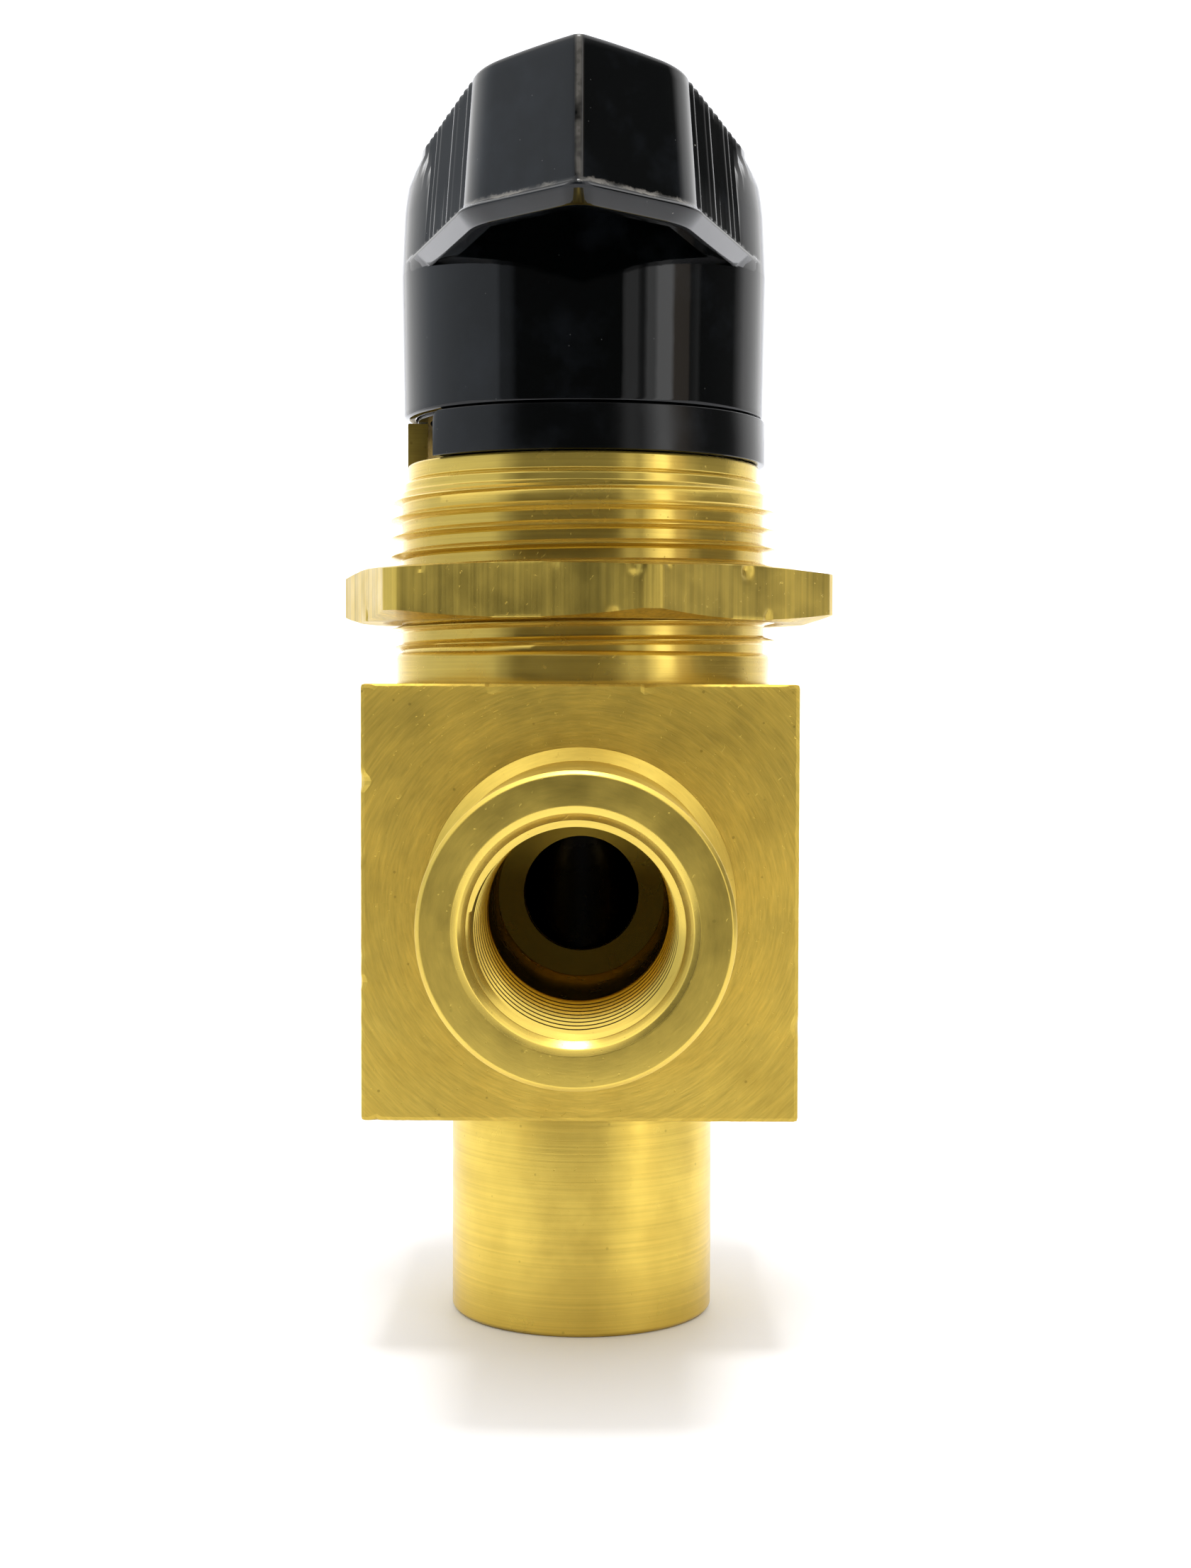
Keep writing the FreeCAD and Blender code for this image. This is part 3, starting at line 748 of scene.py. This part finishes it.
def make_block(material):
    """The square block with its upright cavity and the holes that the port bosses fill."""
    verts, faces = worn_cube()
    piece = new_piece("body_block_machined", verts, faces, material, "regulator_body")
    segments, beyond = 144, 17.0
    cutters = [lathe_grid(CAVITY, segments)]
    for direction, passage, passage_end in ((-1, INLET_PASSAGE, 4.0), (1, 0.5, SLEEVE_END - 0.01)):
        hole_verts, hole_faces = lathe_grid([
            (0, passage_end), (passage, passage_end), (passage, SLEEVE_END), (SLEEVE_RADIUS, SLEEVE_END),
            (SLEEVE_RADIUS, BOSS_SHOULDER), (BOSS_ROOT, BOSS_SHOULDER), (BOSS_ROOT, beyond), (0, beyond),
        ], segments)
        cutters.append((laid_on_port(hole_verts, direction), hole_faces))
    cutters.append(outlet_passage(41.0, 42.0))
    cut_away(piece, cutters, sharp_angle=12)
    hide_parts("body_block")


def port_thread_root(z):
    """The radius of a port thread's root at the distance z out of the port."""
    return PORT_THREAD_RADIUS + PORT_TAPER * (z - PORT_THREAD_LOW)


def make_port_boss(name, direction, passage, bore_end, material, inner_material):
    """One port turned as one piece: shoulder, tip, bevelled mouth, tapered thread, bore and inner sleeve."""
    sleeve, shoulder = SLEEVE_RADIUS - 0.01, BOSS_ROOT - 0.01
    mouth = port_thread_root(PORT_THREAD_HIGH)
    outside = rounded_profile([
        (passage, SLEEVE_END, 0), (sleeve, SLEEVE_END, 0), (sleeve, BOSS_SHOULDER, 0),
        (shoulder, BOSS_SHOULDER, 0), (shoulder, 15.9, 0.03), (10.28, 16.56, 0.05), (10.28, 16.75, 0.03),
        (10.39, 16.87, 0.04), (10.35, PORT_TIP - 0.3, 0.06), (10.1, PORT_TIP - 0.03, 0.05),
        (10.02, PORT_TIP, 0.03), (8.06, PORT_TIP, 0.05), (7.62, PORT_TIP - 0.18, 0.05),
        (mouth, PORT_THREAD_HIGH + 0.05, 0.03), (mouth, PORT_THREAD_HIGH, 0),
    ])
    thread = thread_strip(thread_rows(port_thread_root, PORT_THREAD_LOW, PORT_THREAD_HIGH, PORT_THREAD_DEPTH,
                                      run_in=0.4, run_out=0.35, turn_shape=PORT_TURN, inward=True))
    bore = 6.33
    inside = rounded_profile([
        (PORT_THREAD_RADIUS, PORT_THREAD_LOW, 0), (bore, PORT_THREAD_LOW - 0.3, 0.05), (bore, bore_end, 0.08),
        (passage, bore_end, 0.06 if passage else 0), (passage, SLEEVE_END, 0),
    ])
    verts, faces = joined(lathe_grid(outside), thread, lathe_grid(inside))
    piece = new_piece(name, laid_on_port(verts, direction), faces, material, "regulator_body")
    if not passage:
        cut_away(piece, [outlet_passage(36.5, 42.0)])
    piece.data.materials.append(inner_material)
    mouth_radius, tip = 8.0 * MM, (PORT_TIP - 0.05) * MM
    for face in piece.data.polygons:
        x, y, z = face.center
        face.material_index = int(math.hypot(x, z - PORT_Z * MM) < mouth_radius and abs(y) < tip)


# ---- bottom cap

# The cap's outside as (radius, height, round): foot, body, thread, seal groove, tip and spring bore
CAP_OUTSIDE = [
    (4.9, 0.0, 0), (9.95, 0.0, 0.1), (10.25, 0.3, 0.12), (10.25, 17.38, 0.1), (10.15, 17.49, 0.05),
    (9.0, 17.5, 0.05), (9.0, 20.22, 0.1), (7.52, 20.22, 0.1), (7.52, 21.78, 0.1), (9.0, 21.78, 0.1),
    (9.0, 22.4, 0.1), (3.6, 22.4, 0.1), (3.6, 8.0, 0.1), (0, 8.0, 0),
]
# The key socket as (share of the hexagon, height), and half the hexagon's width across its flats
CAP_SOCKET = [(0.0, 2.8), (0.98, 2.8), (1.0, 2.75), (1.0, 0.15), (1.03, 0.0)]
SOCKET_FLATS = 4.0


def make_cap(material):
    """The round bottom cap with its hexagon key socket underneath."""
    segments = 240
    verts = []
    for share, height in CAP_SOCKET:
        for j in range(segments):
            a = 2 * math.pi * j / segments
            size = share * (SOCKET_FLATS / math.cos(a % (math.pi / 3) - math.pi / 6))
            verts.append((size * math.cos(a), size * math.sin(a), height))
    outer, _ = lathe_grid(rounded_profile(CAP_OUTSIDE), segments)
    verts += outer
    faces = grid_faces(len(verts) // segments, segments)
    piece = new_piece("bottom_cap_turned", verts, faces, material, "regulator_body")
    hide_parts("bottom_cap")


# ---- bonnet

BONNET_THREAD_LOW, BONNET_THREAD_HIGH = 51.7, 64.0
COLLAR_RADIUS, COLLAR_TOP = 13.75, 66.25
BONNET_BORE = 4.62


def make_bonnet(material):
    """Turned bonnet: neck, panel thread, relief groove and collar."""
    low, high = BONNET_THREAD_LOW, BONNET_THREAD_HIGH
    root = THREAD_CREST - THREAD_DEPTH
    lower = rounded_profile([(14.0, 48.92, 0), (14.66, 48.92, 0.1), (14.66, 51.35, 0.12), (14.5, 51.6, 0.08),
                             (root, low, 0)])
    upper = rounded_profile([
        (root, high, 0), (14.05, high + 0.12, 0.08), (14.05, 64.72, 0.12), (13.6, 64.9, 0.1),
        (COLLAR_RADIUS, 65.05, 0.06), (COLLAR_RADIUS, 66.1, 0.1), (COLLAR_RADIUS - 0.13, COLLAR_TOP, 0.08),
        (5.0, COLLAR_TOP, 0.1), (BONNET_BORE, 66.0, 0)])
    inside = [(BONNET_BORE, 66.0), (BONNET_BORE, 62.6), (11.82, 62.6), (11.82, 50.5), (11.12, 50.5),
              (11.12, 43.95), (13.2, 43.95), (13.2, 48.92), (14.0, 48.92)]
    thread = thread_strip(thread_rows(root, low, high, THREAD_DEPTH, run_in=0.5, run_out=0.9,
                                      turn_shape=THREAD_TURN))
    verts, faces = joined(lathe_grid(lower), thread, lathe_grid(upper), lathe_grid(inside))
    piece = new_piece("bonnet_turned", verts, faces, material, "regulator_body")
    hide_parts("bonnet")


def arc_block(inner, outer, low, high, start, end, ease, end_round=0.0, steps=96):
    """A closed piece of a ring with eased edges, whose upper corners at the two ends may be rounded."""
    verts, faces = [], []
    length = math.radians(end - start) * outer
    for i in range(steps + 1):
        share = 0.5 - 0.5 * math.cos(math.pi * i / steps)
        a = math.radians(start + (end - start) * share)
        from_end = min(share, 1 - share) * length
        drop = 0.0
        if from_end < end_round:
            drop = end_round - math.sqrt(end_round ** 2 - (end_round - from_end) ** 2)
        top = high - drop
        section = rounded_profile([(inner, low, 0), (outer, low, ease), (outer, top, ease), (inner, top, 0)])
        for radius, z in section:
            verts.append((radius * math.cos(a), radius * math.sin(a), z))
    count = len(verts) // (steps + 1)
    faces.append(tuple(range(count))[::-1])
    for i in range(steps):
        for k in range(count):
            a, b = i * count + k, i * count + (k + 1) % count
            faces.append((a, b, b + count, a + count))
    faces.append(tuple(steps * count + k for k in range(count)))
    return verts, faces


def make_stop_wall(material):
    """The part of the collar that stands up between the two ends of the knob's tab."""
    verts, faces = arc_block(12.2, COLLAR_RADIUS, 65.9, 69.55, start=120, end=186, ease=0.1, steps=48)
    new_piece("bonnet_stop_wall", verts, faces, material, "regulator_body")


# ---- panel nut

NUT_LOW, NUT_HEIGHT = 54.0, 4.0
NUT_FLATS, NUT_CHAMFER = 34.93 / 2, 17.55
NUT_CORNER, NUT_BORE = 20.0, 15.14
NUT_TURN = -15.0
# Dings in the nut's edges as angle, height, size and depth
NUT_DINGS = [
    (-78.5, 57.6, 0.75, 0.3), (-71.0, 57.85, 0.5, 0.2), (-45.5, 57.55, 0.8, 0.3), (-83.0, 54.15, 0.7, 0.25),
    (-38.0, 54.2, 0.6, 0.22), (-128.0, 57.7, 0.5, 0.2), (-96.0, 57.9, 0.45, 0.14), (12.0, 57.6, 0.7, 0.25),
    (64.0, 54.3, 0.6, 0.25), (140.0, 57.7, 0.8, 0.3), (-159.0, 54.4, 0.6, 0.25),
]


def dinged(radius, z, degrees):
    """A point of the nut, moved inwards by the depth of any ding that it lies in."""
    a = math.radians(degrees)
    for ding_angle, ding_z, size, depth in NUT_DINGS:
        away = math.hypot(math.radians(degrees - ding_angle % 360) * radius, z - ding_z) / size
        if away < 1:
            radius -= depth * (1 - away * away) ** 2 * (1 + 0.4 * wobble(7 * a * radius, 9 * z))
    return radius * math.cos(a), radius * math.sin(a), z


def make_nut(material):
    """The thin hexagon nut: corners turned off at both edges, and edges dinged by spanners."""
    segments, levels = 720, 14
    base_slope, top_slope = (rise / (NUT_CORNER - NUT_CHAMFER) for rise in (0.6, 0.25))
    top = NUT_LOW + NUT_HEIGHT
    inner, ease = 15.75, 0.07
    columns = []
    for j in range(segments):
        degrees = 360 * j / segments
        from_flat = math.radians((degrees - NUT_TURN) % 60 - 30)
        reach = min(NUT_FLATS / math.cos(from_flat), NUT_CORNER - 0.25)
        face = min(reach, NUT_CHAMFER)
        beyond = max(0.0, reach - NUT_CHAMFER)
        low, high = NUT_LOW + beyond * base_slope + ease, top - beyond * top_slope - ease
        column = [(inner, NUT_LOW), (face - ease, NUT_LOW), (face - 0.3 * ease, NUT_LOW + 0.3 * ease)]
        column += [(reach, low + (high - low) * (i / (levels - 1))) for i in range(levels)]
        column += [(face - 0.3 * ease, top - 0.3 * ease), (face - ease, top), (inner, top)]
        columns.append([dinged(radius, z, degrees) for radius, z in column])
    verts = [point for row in zip(*columns) for point in row]
    more, _ = lathe_grid([(NUT_BORE, top - 0.6), (NUT_BORE, NUT_LOW + 0.6)], segments)
    verts += more
    faces = grid_faces(len(verts) // segments, segments, True)
    piece = new_piece("panel_nut_milled", verts, faces, material, "panel_nut", sharp_angle=24)
    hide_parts("panel_nut")


# ---- knob

# A quarter of the handle's outline, and how round its corner, its nose and its lip's nose are
WING_ROOT, WING_CORNER, WING_NOSE = Vector((13.1, 4.2)), Vector((7.55, 24.0)), Vector((0.0, 31.6))
CORNER_ROUND, NOSE_ROUND, LIP_ROUND = 7.0, 0.6, 1.5
GROOVES, GROOVE_FIRST, GROOVE_LAST, GROOVE_DEPTH = 11, 6.2, 21.2, 0.32
# How far the wings' walls lean inwards over their height
WING_LEAN = 0.8
# The foot of the wings' lip: its height and its distance outwards
LIP_LOW, LIP_INSET = 80.42, -0.55
# How far inside the wings' walls the flat top starts, and about how wide the drum's crown is there
TOP_INSET, CROWN_EDGE = 0.9, 13
# The hub, the inside of the skirt, its foot and its outside as (radius, height)
SKIRT_ROWS = [
    (4.05, 78.0), (4.05, 67.7), (4.15, 67.6), (6.9, 67.6), (7.0, 67.7), (7.0, 78.4), (7.2, 78.6),
    (12.85, 78.6), (13.05, 78.4), (13.05, 70.0), (13.12, 69.83), (13.3, SKIRT_LOW), (13.6, SKIRT_LOW),
    (13.85, 69.79), (14.0, 69.9), (14.065, 70.07), (14.075, 70.3), (14.1, 72.0), (14.15, 75.2), (14.2, 78.3),
    (14.235, 80.3),
]
# The wings' bevelled lip as (height, distance outwards, rounding of the nose)
LIP_ROWS = [
    (80.46, -0.46, LIP_ROUND), (80.54, -0.36, LIP_ROUND), (81.26, 0.42, LIP_ROUND), (81.36, 0.5, LIP_ROUND),
    (81.48, 0.52, 1.4), (81.6, 0.46, 1.2), (81.74, 0.24, 0.9), (81.88, 0.05, 0.7), (82.0, 0.01, NOSE_ROUND),
]
# The wings' walls as (height, distance outwards, share of the grooves' depth)
WALL_ROWS = [(82.14, 0.0, 0.85)]
WALL_ROWS += [(height, 0.0, 1.0) for height in (82.3, CROWN_START, 86.5, 88.0, 89.3, 90.5, 91.2)]
WALL_ROWS += [(91.38, -0.04, 1.0), (91.5, -0.12, 0.95), (91.58, -0.26, 0.9), (HANDLE_HIGH, -0.42, 0.8)]
# The middle of the top, the recess for the plug and the screw's hole as (radius, height)
TOP_ROWS = [
    (11.0, HANDLE_HIGH), (8.0, HANDLE_HIGH), (5.75, HANDLE_HIGH), (5.55, 91.54), (5.5, 91.35), (5.5, 82.1),
    (5.4, 82.0), (1.8, 82.0), (1.8, 78.1), (4.0, 78.1),
]
# The pocket under a wing: its outline beyond the drum, the angles where it meets the drum, and its heights
POCKET_OUTLINE = [(-6.1, 23.2), (-0.5, 28.9), (0.5, 28.9), (6.1, 23.2)]
POCKET_START, POCKET_END = 49, 131
POCKET_LOW, POCKET_HIGH = 80.0, 88.2


def outward(direction):
    return Vector((direction.y, -direction.x))


def moved_out(grow):
    """The handle's three outline points after its faces move outwards by grow."""
    side = outward((WING_CORNER - WING_ROOT).normalized())
    front = outward((WING_NOSE - WING_CORNER).normalized())
    side_reach, front_reach = side.dot(WING_CORNER) + grow, front.dot(WING_CORNER) + grow
    turn = side.x * front.y - side.y * front.x
    corner = Vector((side_reach * front.y - front_reach * side.y,
                     front_reach * side.x - side_reach * front.x)) / turn
    return Vector((WING_ROOT.x + grow / side.x, WING_ROOT.y)), corner, Vector((0.0, front_reach / front.y))


def arc_points(corner, before, after, radius, steps, share=1.0):
    """Points and outward directions round a corner's arc, or the first share of it."""
    turn = before.angle(after)
    centre = corner - before * (radius * math.tan(turn / 2)) - outward(before) * radius
    found = []
    for i in range(steps + 1):
        normal = Matrix.Rotation(turn * share * i / steps, 2) @ outward(before)
        found.append((centre + normal * radius, normal, 0.0))
    return found


def quarter_outline(grow, nose_round):
    """A quarter of the handle's outline, from the side round to the nose.

    Each entry is a point, its outward direction and its share of a groove's depth.
    """
    root, corner, nose = moved_out(grow)
    side = (corner - root).normalized()
    front = (nose - corner).normalized()
    back = Vector((front.x, -front.y))
    points = []
    root_angle = math.atan2(WING_ROOT.y, WING_ROOT.x)
    drum_steps, side_steps, front_steps = 12, 165, 10
    for i in range(drum_steps):
        a = root_angle * i / drum_steps
        normal = Vector((math.cos(a), math.sin(a)))
        points.append((normal, normal, 0.0))
    corner_arc = arc_points(corner, side, front, CORNER_ROUND, 10)
    nose_arc = arc_points(nose, front, back, nose_round, 6, 0.5)
    run = corner_arc[0][0] - root
    pitch = (GROOVE_LAST - GROOVE_FIRST) / (GROOVES - 1)
    side_end = WING_CORNER.y - CORNER_ROUND * math.tan(side.angle(front) / 2) * side.y
    for i in range(side_steps):
        point = root + run * (i / side_steps)
        phase = (WING_ROOT.y + (side_end - WING_ROOT.y) * i / side_steps - GROOVE_FIRST) / pitch
        groove = 0.0
        if -0.5 < phase < GROOVES - 0.5:
            groove = 1 - 2 * abs(phase - round(phase))
        points.append((point, outward(side), groove))
    points += corner_arc
    reach = nose_arc[0][0] - corner_arc[-1][0]
    for i in range(1, front_steps):
        points.append((corner_arc[-1][0] + reach * (i / front_steps), outward(front), 0.0))
    return points + nose_arc


def whole_outline(grow=0.0, nose_round=NOSE_ROUND):
    """The quarter outline mirrored twice, as one loop that starts on +X."""
    quarter = quarter_outline(grow, nose_round)
    loop = list(quarter)
    for sign_x, sign_y, order in ((-1, 1, -1), (-1, -1, 1), (1, -1, -1)):
        part = []
        for p, n, groove in quarter[::order]:
            part.append((Vector((p.x * sign_x, p.y * sign_y)), Vector((n.x * sign_x, n.y * sign_y)), groove))
        loop += part[1:] if (part[0][0] - loop[-1][0]).length < 1e-6 else part
    return loop[:-1]


def drum_radius(z):
    """The round middle of the knob: skirt, shoulder and rounded crown."""
    foot, widest, crown_edge = 14.07, 14.24, 14.05
    if z <= SKIRT_HIGH:
        return foot + 0.17 * (z - SKIRT_LOW) / (SKIRT_HIGH - SKIRT_LOW)
    if z <= CROWN_START:
        return widest - 0.19 * (z - SKIRT_HIGH) / (CROWN_START - SKIRT_HIGH)
    share = (z - CROWN_START) / (HANDLE_HIGH - CROWN_START)
    return crown_edge - 0.6 * share - 3.6 * share ** 4


def crowned(x, z):
    """The height of a point once the handle's top is crowned, so that it falls towards the sides."""
    share = min(1.0, max(0.0, (z - CROWN_START) / (HANDLE_HIGH - CROWN_START)))
    return z - share * (CROWN_RADIUS - math.sqrt(CROWN_RADIUS ** 2 - x * x))


def pocket_cutter(side):
    """The closed solid that hollows one wing from below: the rear wing for 1, the front wing for -1."""
    drum_wall = drum_radius(SKIRT_HIGH) + 0.02
    outline = list(POCKET_OUTLINE)
    steps = 12
    for i in range(steps + 1):
        a = math.radians(POCKET_START + (POCKET_END - POCKET_START) * i / steps)
        outline.append((drum_wall * math.cos(a), drum_wall * math.sin(a)))
    count = len(outline)
    walls = [(k, (k + 1) % count, count + (k + 1) % count, count + k) for k in range(count)]
    verts = [(x, side * y, z) for z in (POCKET_LOW, POCKET_HIGH) for x, y in outline]
    return verts, [tuple(range(count)), tuple(range(count, 2 * count))] + walls


def make_knob(material):
    """The T-handle knob: skirt, round middle, two wings with grooved sides, and the hub inside."""
    loop = whole_outline()
    lean = WING_LEAN / (HANDLE_HIGH - SKIRT_HIGH)
    rows = []

    def round_row(radius, z):
        places = [radius * point.normalized() for point, _, _ in loop]
        rows.append([(*spot, crowned(spot.x, z)) for spot in places])

    def outline_row(z, grow, groove_share=0.0, nose_round=NOSE_ROUND):
        row = []
        edge = whole_outline(grow - lean * max(0.0, z - SKIRT_HIGH), nose_round)
        for (base, _, _), (point, normal, groove) in zip(loop, edge):
            spot = point - normal * (GROOVE_DEPTH * groove * groove_share)
            way = base.normalized()
            drum = drum_radius(crowned(way.x * drum_radius(z), z))
            if spot.length < drum:
                spot = way * drum
            row.append((*spot, crowned(spot.x, z)))
        rows.append(row)

    def under_row(share):
        row = []
        for (base, _, _), (point, _, _) in zip(loop, whole_outline(LIP_INSET, LIP_ROUND)):
            inner = base.normalized() * drum_radius(SKIRT_HIGH)
            edge = point if point.length > inner.length else inner
            z = LIP_LOW if point.length > inner.length else SKIRT_HIGH
            row.append((*inner.lerp(edge, share), SKIRT_HIGH + (z - SKIRT_HIGH) * share))
        rows.append(row)

    def top_row(share):
        row = []
        flat_radius = TOP_ROWS[0][0]
        for (base, _, _), (point, _, _) in zip(loop, whole_outline(-TOP_INSET - WING_LEAN)):
            way = base.normalized()
            edge = way * drum_radius(crowned(way.x * CROWN_EDGE, HANDLE_HIGH))
            if point.length > drum_radius(HANDLE_HIGH):
                edge = point
            spot = edge.lerp(way * flat_radius, share)
            row.append((*spot, crowned(spot.x, HANDLE_HIGH)))
        rows.append(row)

    for radius, z in SKIRT_ROWS:
        round_row(radius, z)
    for share in (0.0, 0.04, 0.3, 0.6, 0.93, 1.0):
        under_row(share)
    for z, grow, nose_round in LIP_ROWS:
        outline_row(z, grow, nose_round=nose_round)
    for z, grow, groove_share in WALL_ROWS:
        outline_row(z, grow, groove_share)
    for share in (0.0, 0.35, 0.7):
        top_row(share)
    for radius, z in TOP_ROWS:
        round_row(radius, z)
    verts = [point for row in rows for point in row]
    faces = grid_faces(len(rows), len(loop), True)
    piece = new_piece("knob_handle_moulded", verts, faces, material, "knob", sharp_angle=28)
    cut_away(piece, [pocket_cutter(1), pocket_cutter(-1)])
    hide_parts("knob_handle")


def make_stop_ring(material):
    """The stop ring under the skirt: a band inside it and the long tab below it."""
    tab_verts, tab_faces = arc_block(12.0, 14.2, 66.31, 69.7, start=-142, end=10, ease=0.14, end_round=0.7)
    piece = new_piece("knob_stop_tab", tab_verts, tab_faces, material, "knob")
    band_verts, band_faces = arc_block(12.02, 12.98, 69.6, 72.0, start=0, end=359.5, ease=0.1, steps=120)
    new_piece("knob_stop_band", band_verts, band_faces, material, "knob")
    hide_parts("knob_stop_ring")


# ---- scene

bpy.context.scene.view_settings.view_transform = "Standard"
add_camera()
add_floor()
add_studio_light()

body_brass = block_brass("faced_brass")
outside_brass = boss_brass("boss_brass")
port_brass = bore_brass("port_brass")
bonnet_brass = turned_brass("turned_brass", (0.17, 0.3))
cap_brass = turned_brass("cap_brass", (0.26, 0.4), line_shade=0.16, line_depth=0.000009, tarnish=0.5,
                         metallic=1.0)
nut_brass = milled_brass("milled_brass")
inner_brass = turned_brass("inner_brass", (0.25, 0.35))
knob_black = black_plastic("knob_black", worn=81.9 * MM)
tab_black = black_plastic("tab_black", (0.18, 0.26))
plug_black = black_plastic("plug_black", (0.25, 0.4))
cartridge_black = black_plastic("cartridge_black", (0.25, 0.4))
zinc_steel = plain_metal("zinc_steel", (0.62, 0.62, 0.63), 0.3)
spring_wire = plain_metal("spring_wire", (0.45, 0.45, 0.47), 0.35)
seal_rubber = black_rubber("seal_rubber")

# The material of each slot that the record names, for the CAD's own pieces
SLOT_MATERIALS = {
    "body_brass": body_brass, "bonnet_brass": bonnet_brass, "nut_brass": nut_brass, "cap_brass": cap_brass,
    "inner_brass": inner_brass, "knob_plastic": knob_black, "plug_plastic": plug_black,
    "cartridge_plastic": cartridge_black, "steel": zinc_steel, "spring_steel": spring_wire,
    "seal_rubber": seal_rubber,
}
for entry in frame["record"]["subparts"]:
    part = frame["nodes"][entry["node"]]
    part.data.materials.clear()
    part.data.materials.append(SLOT_MATERIALS[entry["material_slot"]])

make_block(body_brass)
make_port_boss("inlet_boss", -1, INLET_PASSAGE, INLET_BORE_END, outside_brass, port_brass)
make_port_boss("outlet_boss", 1, 0.0, OUTLET_BORE_END, outside_brass, port_brass)
make_cap(cap_brass)
make_bonnet(bonnet_brass)
make_stop_wall(bonnet_brass)
make_nut(nut_brass)
make_knob(knob_black)
make_stop_ring(tab_black)

bpy.context.view_layer.update()
